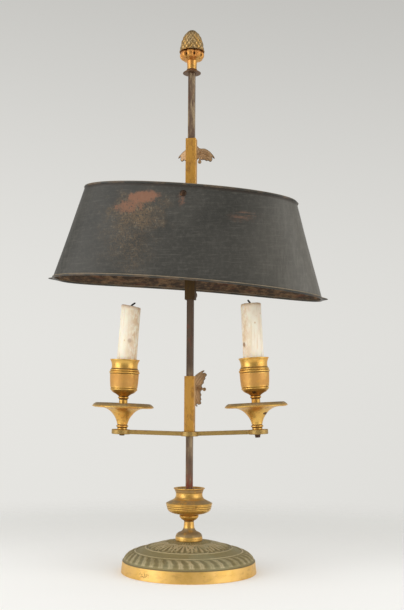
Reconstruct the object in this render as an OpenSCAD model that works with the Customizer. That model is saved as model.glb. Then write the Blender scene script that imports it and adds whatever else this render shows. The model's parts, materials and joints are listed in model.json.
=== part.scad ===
// Two-light bouillotte lamp: a square rod on a turned foot, with a sliding pair of candle arms
// and a sliding, tilting oval shade. Millimetres, +Z up, origin at the middle of the base's underside,
// +X along the right-hand arm. The thumb screws stand at the back, on +Y.

/* [Base] */
// Diameter of the base at the floor
base_d = 150; // [120:1:190]
// Height of the plain band round the base
band_h = 13; // [8:0.5:20]
// How far the band leans in from bottom to top
band_taper = 1.4; // [0:0.1:3]
// Width of the leaf frieze
frieze_w = 13.3; // [8:0.1:18]
// Rise of the dome across the leaf frieze
frieze_rise = 10; // [5:0.5:16]
// Width of the plain field inside the frieze
field_w = 11.5; // [6:0.5:16]
// Rise of the dome across the plain field
field_rise = 3.6; // [1:0.2:8]
// Rise of the dome across the palmettes
palmette_rise = 7.6; // [3:0.2:14]
// Wall of the hollow base casting
base_wall = 4; // [2.5:0.1:6]

/* [Stem] */
// Radius of the bell foot that stands on the dome
foot_r = 15; // [12:0.5:20]
// Radius of the neck
neck_r = 5.2; // [4.2:0.1:7]
// Length of the neck between the bell and the spool
neck_h = 8.1; // [6:0.1:20]
// Radius of the spool under the vase
spool_r = 10.8; // [8:0.1:13]
// Greatest radius of the vase
vase_r = 25.8; // [20:0.2:32]
// Radius of the vase's waist
vase_waist_r = 14.9; // [12:0.1:16]
// Radius of the vase's rim
vase_rim_r = 17.4; // [15.5:0.1:22]

/* [Rod] */
// Side of the square rod
rod_side = 7.2; // [6:0.1:8.5]
// Length of the square rod
rod_h = 473.4; // [395:0.1:600]
// Diameter of the rod's threaded tail
tail_d = 6; // [4:0.5:6]
// Diameter of the stud that holds the finial
finial_stud_d = 4; // [3:0.5:5]

/* [Finial] */
// Radius of the flange
flange_r = 10; // [8:0.2:13]
// Radius of the finial's neck
finial_neck_r = 5.4; // [4:0.1:6.5]
// Greatest radius of the petal cup
petal_r = 13.5; // [10:0.1:16]
// Number of petals round the cup
petals = 8; // [6:1:10]
// Greatest radius of the pine cone
cone_r = 14.4; // [12:0.1:18]
// Height of the pine cone above the petals
cone_h = 24.8; // [18:0.2:34]
// Rows of scales on the pine cone
cone_rows = 6.5; // [4:0.5:8]
// Scales in one row
cone_scales = 12; // [8:1:16]
// How far the tip of a scale stands proud of the gap beside it
scale_depth = 1.7; // [0.8:0.1:2.2]

/* [Sleeves] */
// Wall of the shade's sleeve
shade_sleeve_wall = 1.75; // [1.2:0.05:3]
// Length of the shade's sleeve
shade_sleeve_h = 178.2; // [150:0.1:190]
// Distance of the shade sleeve's top below the rod's top
shade_drop = 72.7; // [3:0.1:80]
// Wall of the arms' sleeve
arm_sleeve_wall = 1.55; // [1.2:0.05:3]
// Length of the arms' sleeve
arm_sleeve_h = 66.7; // [45:0.1:80]
// Gap between a sleeve and the rod on each side
slide_gap = 0.25; // [0.15:0.05:0.4]

/* [Screws] */
// Diameter of the wing screws
wing_screw_d = 4; // [3:0.5:5]
// Distance of the butterfly plates from the middle of the rod
wing_reach = 32; // [24:0.5:40]
// Height of the upper butterfly above its sleeve's foot
shade_screw_up = 172.7; // [140:0.1:173]
// Height of the lower butterfly above its sleeve's foot
arm_screw_up = 54.7; // [30:0.1:58]
// Thickness of a butterfly plate
wing_t = 1.5; // [1:0.1:3]
// Span of a butterfly from tip to tip
wing_span = 42.4; // [30:0.2:48]
// Turn of the upper butterfly from level, right-hand side down
shade_wing_turn = 2.5; // [-10:0.5:90]
// Turn of the lower butterfly from level, right-hand side up
arm_wing_turn = 79; // [0:1:90]
// How far the upper butterfly's knob stands to the right of its middle
shade_knob_shift = 4.4; // [-5:0.1:5]
// Diameter of the round set screw's head
set_head_d = 10; // [8:0.5:12]
// Thickness of the set screw's head
set_head_t = 4; // [2.5:0.5:6]
// Height of the set screw above the sleeve's foot
set_screw_up = 6.8; // [5:0.1:12]
// Radial play of a screw in its threaded boss
screw_gap = 0.05; // [0.02:0.01:0.08]

/* [Shade] */
// Height of the pivot rivets above the sleeve's foot
rivet_up = 107.8; // [80:0.1:130]
// Half length of the shade at the top
shade_top_x = 119; // [100:0.5:150]
// Half depth of the shade at the top
shade_top_y = 47.7; // [40:0.1:60]
// Half length of the shade at the bottom
shade_bottom_x = 150.8; // [130:0.1:190]
// Half depth of the shade at the bottom
shade_bottom_y = 54.3; // [50:0.1:72]
// Height of the ends of the shade's top edge above the rivets
shade_above = 8.2; // [8:0.1:16]
// Depth of the ends of the shade's bottom edge below the rivets
shade_below = 96.8; // [80:0.1:116]
// How squarely the top edge is bent, 2 being an ellipse
top_squareness = 2.6; // [1.9:0.1:3]
// How squarely the bottom edge is bent
bottom_squareness = 2.9; // [2:0.1:3.8]
// Rise of the top edge's middle above its ends
top_arch = 2.9; // [0:0.1:5]
// Rise of the bottom edge's middle above its ends
bottom_arch = 4.7; // [0:0.1:8]
// Slope of the top edge across the shade's own axis, right-hand end down, in degrees
top_slope = 1.2; // [-2:0.1:2]
// Slope of the bottom edge across the shade's own axis, right-hand end down, in degrees
bottom_slope = 0.7; // [-2:0.1:2]
// How far the top edge stands to the right of the rivets
top_shift = -2; // [-4:0.1:4]
// How far the bottom edge stands to the right of the rivets
bottom_shift = 2; // [-4:0.1:4]
// How far the top wire is pulled out to a point at each end
top_ear = 0.8; // [0:0.1:3]
// How far the bottom wire is pulled out to a point at the left-hand end
bottom_left_ear = 9.6; // [0:0.1:12]
// How far the bottom wire is pulled out to a point at the right-hand end
bottom_right_ear = 6; // [0:0.1:12]
// Lean of the shade, right-hand end down, in degrees
shade_lean = 4.4; // [-10:0.1:10]
// Thickness of the sheet
sheet_t = 0.8; // [0.6:0.1:1.4]
// Radius of the wired edges
wire_r = 1.4; // [1:0.1:2.2]

/* [Bridge] */
// Width of the strap that carries the shade
strap_w = 12; // [10:0.5:18]
// Thickness of the strap
strap_t = 1.6; // [1.2:0.1:2.4]
// Height of the strap above the rivets
strap_up = 5.6; // [5:0.1:7]
// Diameter of the pivot rivets
rivet_d = 4; // [3:0.5:5]
// Gap between the strap's ends and the sheet
strap_gap = 0.5; // [0.4:0.05:0.8]

/* [Arms] */
// Distance of the left-hand candle from the rod
left_reach = 77.2; // [60:0.2:90]
// Distance of the right-hand candle from the rod
right_reach = 75.6; // [60:0.2:90]
// Height of the bar's middle above the vase
bar_up = 59.7; // [8:0.1:90]
// Depth of the bar's runs from top to bottom
bar_h = 4.7; // [4:0.1:8]
// Width of the bar
bar_w = 7; // [5:0.5:10]
// Diameter of the eyes at the bar's ends
eye_d = 21; // [16:0.5:26]
// How far an end eye's middle lies beyond the stud
eye_out = 1.2; // [0:0.1:2]
// Diameter of the bar's middle eye
middle_eye_d = 20; // [18:0.5:26]
// Upward slope of the left-hand arm in degrees
left_arm_rise = 1.1; // [0:0.1:6]
// Upward slope of the right-hand arm in degrees
right_arm_rise = 2.4; // [0:0.1:6]
// Lean of each end eye and its holder towards the rod, from square to the arm, in degrees
holder_lean = 1; // [-2:0.1:2]

/* [Candle holders] */
// Radius of the drip pan
pan_r = 34.6; // [28:0.2:42]
// Height of the drip pan's floor above the bar
pan_floor = 26.4; // [22:0.2:32]
// Radius of the neck between the pan and the cup
cup_neck_r = 4.8; // [3.5:0.1:6]
// Greatest radius of the cup's barrel
cup_r = 15.7; // [15:0.1:20]
// Depth of the candle's bore
cup_depth = 30; // [20:0.5:34]
// Wall of the cup's barrel
cup_wall = 2; // [1.6:0.1:3]
// Diameter of the stud that holds cup, pan and bar together
stud_d = 4; // [3:0.5:5]
// Height of the left-hand nut
left_nut_h = 1.6; // [1.2:0.1:5]
// Height of the right-hand nut
right_nut_h = 3.6; // [1.2:0.1:5]

/* [Candles] */
// Play of the left-hand candle in its cup, on each side
left_candle_play = 2.3; // [1.5:0.1:4]
// Play of the right-hand candle in its cup, on each side
right_candle_play = 2.1; // [0.3:0.1:4]
// Length of the candle stubs
candle_h = 89; // [50:0.2:96]
// How much thinner a candle is at its top
candle_taper = 0.3; // [0:0.1:2]
// How far the left-hand candle's foot stands from the middle of its cup, towards the rod
left_foot_shift = 0.8; // [-1:0.1:1]
// Diameter of a wick
wick_d = 1.6; // [1:0.1:2.5]
// Height of a wick above its candle
wick_out = 4; // [2:0.5:10]
// Bend of the left-hand wick's end, in degrees
left_wick_bend = 50; // [0:5:80]
// Bend of the right-hand wick's end, in degrees
right_wick_bend = -30; // [-80:5:0]

/* [Hidden] */

gilt = "#c9973a";
patina = "#7d7549";
sleeve_brass = "#a9752c";
iron = "#4a3830";
screw_brown = "#7d6152";
japan_black = "#2b302e";
wax = "#efe6cf";
char_black = "#2a2420";

fine = 96;      // facets of a large round
round_fn = 48;  // facets of a small round
fit_gap = 0.1;  // play of fixed pieces round a stud or tail
edge = 0.5;     // broken edge of square bars
LEFT = -1;
RIGHT = 1;

base_r = base_d / 2;
bead_r = 0.9;
ledge = 0.8;
frieze_in_r = base_r - band_taper - ledge - frieze_w;
palmette_r = frieze_in_r - field_w;
frieze_z = band_h + frieze_rise;
field_z = frieze_z + field_rise;
seat_z = field_z + palmette_rise;

washer_t = 1.6;
washer_r = 12.5;
nut_h = 5;
nut_d = 13;
tail_past_nut = 2;
dome_under_z = seat_z - base_wall;
tail_end_z = dome_under_z - washer_t - nut_h - tail_past_nut;

bell_h = 14.4;
spool_h = 7.2;
spool_z = seat_z + bell_h + neck_h;
vase_z = spool_z + spool_h;
vase_belly_h = 11.2;   // from the vase's foot to its sharp edge
vase_waist_h = 20.4;   // to its waist
vase_h = 29;           // to its rim
vase_top_z = vase_z + vase_h;
pocket_z = vase_z + 15;
rod_top_z = pocket_z + rod_h;

flange_h = 4.4;
flange_edge_r = 0.5;
finial_neck_h = 9.4;
cup_z = rod_top_z + flange_h;
petal_z = cup_z + finial_neck_h;
petal_h = 9.5;
cone_z = petal_z + petal_h;
petal_lobe_r = petal_r * 0.37;
petal_lobe_up = 6.2;
stud_top_z = petal_z + 5;
scale_steps = 4;       // points across a scale
ring_steps = 6;        // points up a scale

sleeve_bore = rod_side + 2 * slide_gap;
shade_sleeve_side = sleeve_bore + 2 * shade_sleeve_wall;
shade_sleeve_z = rod_top_z - shade_drop - shade_sleeve_h;
bar_z = vase_top_z + bar_up;
arm_sleeve_side = sleeve_bore + 2 * arm_sleeve_wall;
boss_d = wing_screw_d + 4.6;
boss_l = 5;
set_screw_d = 3.5;
set_boss_d = 8;
set_boss_l = 3;
set_head_y = shade_sleeve_side / 2 + set_boss_l + 5;
rivet_z = shade_sleeve_z + rivet_up;
eye_h = bar_h + 0.6;    // the eyes stand a little proud of the bar
arm_sleeve_z = bar_z - eye_h / 2;
shade_screw_z = shade_sleeve_z + shade_screw_up;
set_screw_z = shade_sleeve_z + set_screw_up;
arm_screw_z = arm_sleeve_z + arm_screw_up;

turns = 96;            // sections round the shade
wall_rows = 4;         // bands of sheet from edge to edge
wire_sides = 8;
ear_angle = 5;         // spread of an ear round the edge, on each side of its point
wire_flat = wire_r * cos(180 / wire_sides);
sheet_gap = 0.02;      // play between the sheet's edge and the wire's flat
sheet_inset = wire_flat + wire_r + sheet_gap;
mid_top_z = shade_above + top_arch - sheet_inset;          // of the sheet's edges above the rivets,
mid_bottom_z = bottom_arch + sheet_inset - shade_below;    // at the middle of the front
wall_slope = (shade_bottom_y - shade_top_y) / (mid_top_z - mid_bottom_z);
wall_angle = atan(wall_slope);
wall_y = shade_top_y + wall_slope * mid_top_z;
tab_y = wall_y - sheet_t - strap_gap;
tab_drop = 12.6;
rivet_head_r = rivet_d / 2 + 1.6;
rivet_head_h = 1.7;
rivet_tail_r = rivet_d / 2 + 1.2;
rivet_tail_h = 1.2;
rivet_tail_gap = 0.45;

cup_base_h = 37.6;     // from the bar to the cup's underside
barrel_z = 46.4;
barrel_h = 16;
collar_z = 67.6;
cup_h = 78.5;
cup_floor = cup_h - cup_depth;
cup_bore_r = cup_r - cup_wall;
left_candle_r = cup_bore_r - left_candle_play;
right_candle_r = cup_bore_r - right_candle_play;
rim_gap = 0.3;         // between a leaning candle and the cup's rim
left_candle_lean = atan((left_candle_play - left_foot_shift - rim_gap) / cup_depth);
stud_nut_r = stud_d / 2 + 1.4;
wick_depth = 12;
wick_end_d = 0.8 * wick_d;

// Points of a shallow curve from a to b that stands s to the left of the straight line
function bow(a, b, s, n = 6) =
    let (d = b - a, side = [-d[1], d[0]] / norm(d))
    [for (i = [0 : n]) let (t = i / n) a + d * t + side * 4 * s * t * (1 - t)];

// Points of a half round bead of radius r about c, from angle a0 to a1
function bead(c, r, a0, a1, n = 6) =
    [for (i = [0 : n]) let (a = a0 + (a1 - a0) * i / n) c + r * [cos(a), sin(a)]];

// A square bar or tube end with broken edges
module square_section(side) {
    offset(delta = edge, chamfer = true)
        square(side - 2 * edge, center = true);
}

// A turned piece, from half of its outline
module turned(points, fn = fine) {
    rotate_extrude($fn = fn)
        polygon(points);
}

// ---------- base and stem ----------

function base_outline() = concat(
    [[base_r, 0], [base_r - band_taper, band_h], [base_r - band_taper - ledge, band_h + ledge / 2]],
    bow([base_r - band_taper - ledge, band_h + ledge / 2], [frieze_in_r + bead_r, frieze_z], -1.9),
    bead([frieze_in_r, frieze_z], bead_r, 0, 180),
    bow([frieze_in_r - bead_r, frieze_z], [palmette_r + bead_r, field_z], 0.4),
    bead([palmette_r, field_z], bead_r, 0, 180),
    bow([palmette_r - bead_r, field_z], [foot_r + 1, seat_z], -1)
);

module base_section(floor_z) {
    polygon(concat([[-foot_r, floor_z], [base_r, floor_z]], base_outline(), [[-foot_r, seat_z]]));
}

module base_casting() {
    color(patina)
    difference() {
        rotate_extrude($fn = fine)
            polygon(concat([[0, 0]], base_outline(), [[0, seat_z]]));
        rotate_extrude($fn = fine)
            intersection() {
                offset(delta = -base_wall)
                    base_section(-2 * base_wall);
                translate([0, -2 * base_wall])
                    square([base_r, seat_z + 2 * base_wall]);
            }
        cylinder(d = tail_d + 2 * fit_gap, h = seat_z + 1, $fn = round_fn);
    }
}

module base_washer() {
    color(iron)
    translate([0, 0, dome_under_z - washer_t])
        difference() {
            cylinder(r = washer_r, h = washer_t, $fn = round_fn);
            translate([0, 0, -1])
                cylinder(d = tail_d + 2 * fit_gap, h = washer_t + 2, $fn = round_fn);
        }
}

module base_nut() {
    color(iron)
    translate([0, 0, dome_under_z - washer_t - nut_h])
        difference() {
            cylinder(d = nut_d, h = nut_h, $fn = 6);
            translate([0, 0, -1])
                cylinder(d = tail_d + 2 * fit_gap, h = nut_h + 2, $fn = round_fn);
        }
}

module stem_foot() {
    bore_r = tail_d / 2 + fit_gap;
    neck_z = bell_h;
    color(gilt)
    translate([0, 0, seat_z])
        turned(concat(
            [[bore_r, 0], [foot_r - 0.6, 0], [foot_r, 0.6], [foot_r, 3.4]],
            bow([foot_r, 3.8], [neck_r + 4.4, 10], -1.4),
            bow([neck_r + 4.4, 10], [neck_r + 0.9, neck_z], 0.6),
            bow([neck_r + 0.9, neck_z], [neck_r + 0.3, neck_z + neck_h], 0.2),
            bow([neck_r + 0.9, neck_z + neck_h], [spool_r - 0.4, neck_z + neck_h + 3.8], -0.5),
            bead([spool_r - 0.9, neck_z + neck_h + 4.9], 0.9, -70, 90),
            [[spool_r - 1.6, neck_z + neck_h + 5.9], [spool_r - 1, neck_z + neck_h + 6.5],
             [spool_r - 1, neck_z + neck_h + spool_h], [bore_r, neck_z + neck_h + spool_h]]
        ));
}

module stem_vase() {
    bore_r = tail_d / 2 + fit_gap;
    pocket_side = rod_side + 2 * fit_gap;
    lip = vase_rim_r - 2.6;
    color(gilt)
    translate([0, 0, vase_z])
        difference() {
            turned(concat(
                [[bore_r, 0], [spool_r + 3, 0]],
                bow([spool_r + 3.6, 0.4], [vase_r - 1.9, 6.2], -2.1),
                [[vase_r - 2.3, 6.5], [vase_r - 1.5, 7.1]],
                bow([vase_r - 1.4, 7.3], [vase_r - 0.9, 9.2], -0.35),
                [[vase_r - 1.5, 9.5], [vase_r - 0.7, 9.9]],
                bead([vase_r - 0.8, vase_belly_h - 0.3], 0.8, -60, 90),
                bow([vase_r - 1.6, vase_belly_h + 0.7], [vase_waist_r + 2.6, vase_waist_h - 3.8], 0.5),
                bow([vase_waist_r + 2.6, vase_waist_h - 3.8], [vase_waist_r + 0.5, vase_waist_h + 3], 1.5),
                [[vase_rim_r - 1.2, vase_h - 4.6], [vase_rim_r, vase_h - 4], [vase_rim_r, vase_h - 0.6],
                 [vase_rim_r - 0.6, vase_h], [lip + 0.6, vase_h], [lip, vase_h - 0.6]],
                bow([lip, vase_h - 0.8], [rod_side, vase_h - 2.6], -0.6),
                [[bore_r, vase_h - 2.6]]
            ));
            translate([0, 0, pocket_z - vase_z])
                linear_extrude(vase_h)
                    square(pocket_side, center = true);
        }
}

module rod() {
    color(iron) {
        translate([0, 0, tail_end_z])
            cylinder(d = tail_d, h = pocket_z - tail_end_z + 1, $fn = round_fn);
        translate([0, 0, pocket_z])
            linear_extrude(rod_top_z - pocket_z)
                square_section(rod_side);
        translate([0, 0, rod_top_z - 1])
            cylinder(d = finial_stud_d, h = stud_top_z - rod_top_z + 1, $fn = round_fn);
    }
}

// ---------- finial ----------

module finial_flange() {
    bore_r = finial_stud_d / 2 + fit_gap;
    color(screw_brown)
    translate([0, 0, rod_top_z])
        turned(concat(
            [[bore_r, 0]],
            bead([flange_r - flange_edge_r, flange_edge_r], flange_edge_r, -90, 60),
            bow([flange_r - 0.6, 1.2], [finial_neck_r + 0.4, flange_h], 0.5),
            [[bore_r, flange_h]]
        ), round_fn);
}

module finial_leaf_cup() {
    bore_r = finial_stud_d / 2 + fit_gap;
    stud_room = stud_top_z - cup_z + 0.5;
    color(gilt)
    translate([0, 0, cup_z])
        difference() {
            union() {
                turned(concat(
                    [[0, 0], [finial_neck_r, 0]],
                    bow([finial_neck_r, 0.4], [finial_neck_r + 0.4, finial_neck_h], 0.3),
                    bow([finial_neck_r + 0.6, finial_neck_h], [petal_r - 2.4, finial_neck_h + 5.2], -1),
                    [[petal_r - 1.8, finial_neck_h + petal_h], [0, finial_neck_h + petal_h]]
                ), round_fn);
                for (i = [0 : petals - 1])
                    rotate([0, 0, i * 360 / petals])
                        translate([petal_r - petal_lobe_r, 0, finial_neck_h + petal_lobe_up])
                            sphere(r = petal_lobe_r, $fn = round_fn);
            }
            translate([0, 0, finial_neck_h + petal_h])
                cylinder(r = petal_r + 1, h = petal_h, $fn = round_fn);
            translate([0, 0, -1])
                cylinder(r = bore_r, h = stud_room + 1, $fn = round_fn);
        }
}

// Outline radius of the pine cone at a share t of its height
function cone_radius(t) = cone_r * sqrt(max(0, 1 - pow(0.25 + 0.75 * t, 2.6)) / (1 - pow(0.25, 2.6)));

// How proud a scale of the given row stands, from 0 in the gap to 1 at its tip, at a turn counted in
// scales and a climb counted in rows. Every other row is set over by half a scale
function scale_swell(row, turn, climb) =
    let (
        u = turn - row / 2,
        across = 2 * abs(u - round(u)),
        up = climb - row,
        knob = 1 - pow(across, 1.5) - pow(min(1, abs(up)), 1.5)
    )
    sqrt(max(0, knob)) * (0.85 + 0.3 * up);

// Radius of the cone's surface, scales and all
function scaly_radius(turn, climb) =
    let (
        t = climb / cone_rows,
        low = floor(climb),
        swell = max(scale_swell(low, turn, climb), scale_swell(low + 1, turn, climb)),
        calm = min(1, (1 - t) * 8)
    )
    cone_radius(t) - scale_depth * calm * (1 - min(1, swell));

module finial_pinecone() {
    around = cone_scales * scale_steps;
    rings = round(cone_rows * ring_steps);
    top_share = 0.985;
    points = [for (k = [0 : rings - 1])
        let (t = top_share * k / (rings - 1))
        each [for (i = [0 : around - 1])
            let (r = scaly_radius(i / scale_steps, t * cone_rows), a = i * 360 / around)
            [r * cos(a), r * sin(a), t * cone_h / top_share]]];
    color(gilt)
    translate([0, 0, cone_z])
        polyhedron(
            points = points,
            faces = concat(
                [for (k = [0 : rings - 2]) each band_faces(k, k + 1, around)],
                [[for (i = [0 : around - 1]) i],
                 [for (i = [0 : around - 1]) rings * around - 1 - i]]
            ),
            convexity = 6
        );
}

// ---------- sleeves and screws ----------

// A square tube of the given length with a threaded boss at each height in bosses, as
// [height, boss diameter, boss length, hole diameter]
module sleeve(side, h, bosses) {
    difference() {
        union() {
            linear_extrude(h)
                square_section(side);
            for (b = bosses)
                translate([0, side / 2 - 0.5, b[0]])
                    rotate([-90, 0, 0])
                        cylinder(d = b[1], h = b[2] + 0.5, $fn = round_fn);
        }
        translate([0, 0, -1])
            linear_extrude(h + 2)
                square(sleeve_bore, center = true);
        for (b = bosses)
            translate([0, 0, b[0]])
                rotate([-90, 0, 0])
                    cylinder(d = b[3], h = side / 2 + b[2] + 1, $fn = round_fn);
    }
}

module shade_sleeve() {
    color(sleeve_brass)
    translate([0, 0, shade_sleeve_z])
        sleeve(shade_sleeve_side, shade_sleeve_h, [
            [shade_screw_up, boss_d, boss_l, wing_screw_d + 2 * screw_gap],
            [set_screw_up, set_boss_d, set_boss_l, set_screw_d + 2 * screw_gap]
        ]);
}

module arm_sleeve() {
    color(sleeve_brass)
    translate([0, 0, arm_sleeve_z])
        sleeve(arm_sleeve_side, arm_sleeve_h, [
            [arm_screw_up, boss_d, boss_l, wing_screw_d + 2 * screw_gap]
        ]);
}

// Points of a smooth closed curve through the given points, with n steps from each one to the next
function closed_curve(p, n = 3) =
    [for (k = [0 : len(p) - 1], i = [0 : n - 1])
        let (
            a = p[(k + len(p) - 1) % len(p)], b = p[k],
            c = p[(k + 1) % len(p)], d = p[(k + 2) % len(p)],
            t = i / n
        )
        (2 * b + (c - a) * t + (2 * a - 5 * b + 4 * c - d) * pow(t, 2)
            + (3 * b - a - 3 * c + d) * pow(t, 3)) / 2];

// The right half of a butterfly from its crest to its knob: a long feather that droops to a point, a
// notched lobe under it and the knob's stem. The first number is a share of the half span
WING = [
    [0.05, 6.6], [0.14, 4.8], [0.26, 4.1], [0.42, 4.2], [0.58, 3], [0.74, 0.8], [0.87, -2], [0.97, -4.6],
    [1, -6.6], [0.94, -6.6], [0.86, -5.2], [0.88, -7.8], [0.82, -10.2], [0.74, -10.4], [0.65, -9.4],
    [0.57, -10], [0.44, -8.8], [0.32, -9.2], [0.23, -7.9], [0.13, -7.6], [0.075, -8.6]
];

module butterfly_outline(knob_x) {
    half = wing_span / 2;
    knob_y = -11.2;
    knob_r = 2.2;
    knob_stem_w = 2.6;
    left = [for (i = [len(WING) - 1 : -1 : 0]) [-WING[i][0] * half, WING[i][1]]];
    right = [for (p = WING) [p[0] * half, p[1]]];
    polygon(closed_curve(concat(right, left)));
    translate([knob_x - knob_stem_w / 2, knob_y])
        square([knob_stem_w, -knob_y]);
    translate([knob_x, knob_y])
        circle(r = knob_r, $fn = 32);
}

// A thumb screw whose tip stands on the rod's back face, turned about its own axis
module wing_screw(z, turn, knob_x) {
    shoulder_l = 3;
    shoulder_r = 4;
    translate([0, 0, z])
        rotate([90, turn, 0]) {
            translate([0, 0, -wing_reach])
                cylinder(d = wing_screw_d, h = wing_reach - rod_side / 2, $fn = round_fn);
            translate([0, 0, -wing_reach])
                cylinder(r1 = shoulder_r, r2 = wing_screw_d / 2 + 0.4, h = shoulder_l, $fn = round_fn);
            translate([0, 0, -wing_reach - wing_t])
                linear_extrude(wing_t)
                    butterfly_outline(knob_x);
        }
}

module shade_wing_screw() {
    color(screw_brown)
    wing_screw(shade_screw_z, shade_wing_turn, shade_knob_shift);
}

module arm_wing_screw() {
    color(screw_brown)
    wing_screw(arm_screw_z, -arm_wing_turn, 0);
}

module shade_set_screw() {
    color(iron)
    translate([0, 0, set_screw_z])
        rotate([-90, 0, 0]) {
            translate([0, 0, rod_side / 2])
                cylinder(d = set_screw_d, h = set_head_y - rod_side / 2 + 1, $fn = round_fn);
            translate([0, 0, set_head_y])
                cylinder(d = set_head_d, h = set_head_t, $fn = round_fn);
        }
}

// ---------- shade ----------

function signed_pow(v, p) = sign(v) * pow(abs(v), p);

// Point at angle a on an edge of half sizes x and y, bent to squareness n, arched by rise and sloping
function edge_point(x, y, n, rise, slope, z, a) =
    let (px = x * signed_pow(cos(a), 2 / n))
    [px, y * signed_pow(sin(a), 2 / n), z + rise * (1 - pow(px / x, 2)) - px * tan(slope)];

function top_edge(a, inset, drop) =
    [top_shift, 0, 0] + edge_point(shade_top_x - inset, shade_top_y - inset,
        top_squareness, top_arch, top_slope, shade_above - drop, a);

function bottom_edge(a, inset, lift) =
    [bottom_shift, 0, 0] + edge_point(shade_bottom_x - inset, shade_bottom_y - inset,
        bottom_squareness, bottom_arch, bottom_slope, lift - shade_below, a);

// Ring of points round the sheet at a share t of its height, inset from its outer face
function sheet_ring(t, inset) =
    [for (i = [0 : turns - 1])
        let (a = i * 360 / turns)
        bottom_edge(a, inset, sheet_inset) * (1 - t) + top_edge(a, inset, sheet_inset) * t];

// Faces between ring p and ring q, both of n points, seen from outside when q is above p
function band_faces(p, q, n) =
    [for (i = [0 : n - 1]) let (j = (i + 1) % n) each [
        [p * n + i, q * n + i, q * n + j],
        [p * n + i, q * n + j, p * n + j]]];

// Everything on the shade turns about the rivets, which lie on the Y axis of this frame
module at_shade() {
    translate([0, 0, rivet_z])
        rotate([0, shade_lean, 0])
            children();
}

module shade_wall() {
    levels = wall_rows + 1;
    rings = concat(
        [for (k = [0 : wall_rows]) sheet_ring(k / wall_rows, 0)],
        [for (k = [0 : wall_rows]) sheet_ring(1 - k / wall_rows, sheet_t)]
    );
    polyhedron(
        points = [for (ring = rings) each ring],
        faces = [for (k = [0 : 2 * levels - 1]) each band_faces(k, (k + 1) % (2 * levels), turns)],
        convexity = 6
    );
}

module shade_shell() {
    hole_d = rivet_d + 2 * screw_gap;
    color(japan_black)
    at_shade()
        difference() {
            shade_wall();
            rotate([90, 0, 0])
                cylinder(d = hole_d, h = 3 * shade_bottom_y, center = true, $fn = round_fn);
        }
}

// Share of an ear's length at angle a round an edge: 1 at its point and 0 away from the two ends
function ear_share(a) = pow(max(0, 1 - min(a % 180, 180 - a % 180) / ear_angle), 2);

// A wire bent round an edge: one ring of points per section, with flats above and below. At each end
// its outer side is pulled out to a pointed ear
module edge_wire(x, y, n, rise, slope, z, left_ear, right_ear) {
    wire_points = [for (i = [0 : turns - 1])
        let (
            a = i * 360 / turns,
            c = edge_point(x, y, n, rise, slope, z, a),
            g = [signed_pow(c[0] / x, n - 1) / x, signed_pow(c[1] / y, n - 1) / y],
            out = g / norm(g)
        )
        each [for (k = [0 : wire_sides - 1])
            let (
                b = 180 / wire_sides + k * 360 / wire_sides,
                ear = (out[0] < 0 ? left_ear : right_ear) * ear_share(a),
                reach_out = wire_r * cos(b) + ear * max(0, cos(b))
            )
            c + [out[0] * reach_out, out[1] * reach_out, wire_r * sin(b)]]];
    polyhedron(
        points = wire_points,
        faces = [for (i = [0 : turns - 1]) each
            band_faces((i + 1) % turns, i, wire_sides)],
        convexity = 6
    );
}

module shade_top_wire() {
    mid = sheet_t / 2;
    color(japan_black)
    at_shade()
        translate([top_shift, 0, 0])
            edge_wire(shade_top_x - mid, shade_top_y - mid, top_squareness, top_arch,
                top_slope, shade_above - wire_r, top_ear, top_ear);
}

module shade_bottom_wire() {
    mid = sheet_t / 2;
    color(japan_black)
    at_shade()
        translate([bottom_shift, 0, 0])
            edge_wire(shade_bottom_x - mid, shade_bottom_y - mid, bottom_squareness, bottom_arch,
                bottom_slope, wire_r - shade_below, bottom_left_ear, bottom_right_ear);
}

// A pivot rivet through the sheet and the strap's turned-down end
module rivet() {
    tail_y = tab_y - strap_t - rivet_tail_gap;
    dome_r = (rivet_head_r * rivet_head_r + rivet_head_h * rivet_head_h) / (2 * rivet_head_h);
    rotate([90, 0, 0]) {
        translate([0, 0, tail_y - rivet_tail_h])
            cylinder(r = rivet_tail_r, h = rivet_tail_h, $fn = round_fn);
        translate([0, 0, tail_y - 0.5])
            cylinder(d = rivet_d, h = wall_y - tail_y + 1, $fn = round_fn);
    }
    translate([0, -wall_y, 0])
        rotate([90 - wall_angle, 0, 0])
            intersection() {
                translate([0, 0, rivet_head_h - dome_r])
                    sphere(r = dome_r, $fn = round_fn);
                cylinder(r = rivet_head_r + 1, h = rivet_head_h + 1, $fn = round_fn);
            }
}

module shade_rivets() {
    color(screw_brown)
    at_shade() {
        rivet();
        mirror([0, 1, 0])
            rivet();
    }
}

// One half of the strap: a flat run to the front and a drilled end turned down along the sheet
module half_strap() {
    bend_y = tab_y - wall_slope * strap_up;
    translate([-strap_w / 2, -bend_y, strap_up - strap_t])
        cube([strap_w, bend_y, strap_t]);
    difference() {
        translate([0, -tab_y, 0])
            rotate([-wall_angle, 0, 0])
                translate([-strap_w / 2, 0, strap_up - tab_drop])
                    cube([strap_w, strap_t, tab_drop]);
        translate([0, -tab_y, 0])
            rotate([90, 0, 0])
                cylinder(d = rivet_d + 2 * screw_gap, h = 6 * strap_t, center = true, $fn = round_fn);
    }
}

module shade_bridge() {
    collar_h = 6;
    collar_side = shade_sleeve_side + 5;
    color(iron)
    translate([0, 0, rivet_z])
        difference() {
            union() {
                half_strap();
                mirror([0, 1, 0])
                    half_strap();
                translate([0, 0, strap_up - collar_h])
                    linear_extrude(collar_h)
                        square_section(collar_side);
            }
            translate([0, 0, -tab_drop])
                linear_extrude(2 * tab_drop)
                    square_section(shade_sleeve_side);
        }
}

// ---------- candle arms ----------

function reach(side) = side == LEFT ? left_reach : right_reach;

function rise(side) = side == LEFT ? left_arm_rise : right_arm_rise;

// Places its children at the middle of the bar, with X along the arm
module along_arm(side) {
    translate([0, 0, bar_z])
        rotate([0, -side * rise(side), 0])
            children();
}

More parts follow.
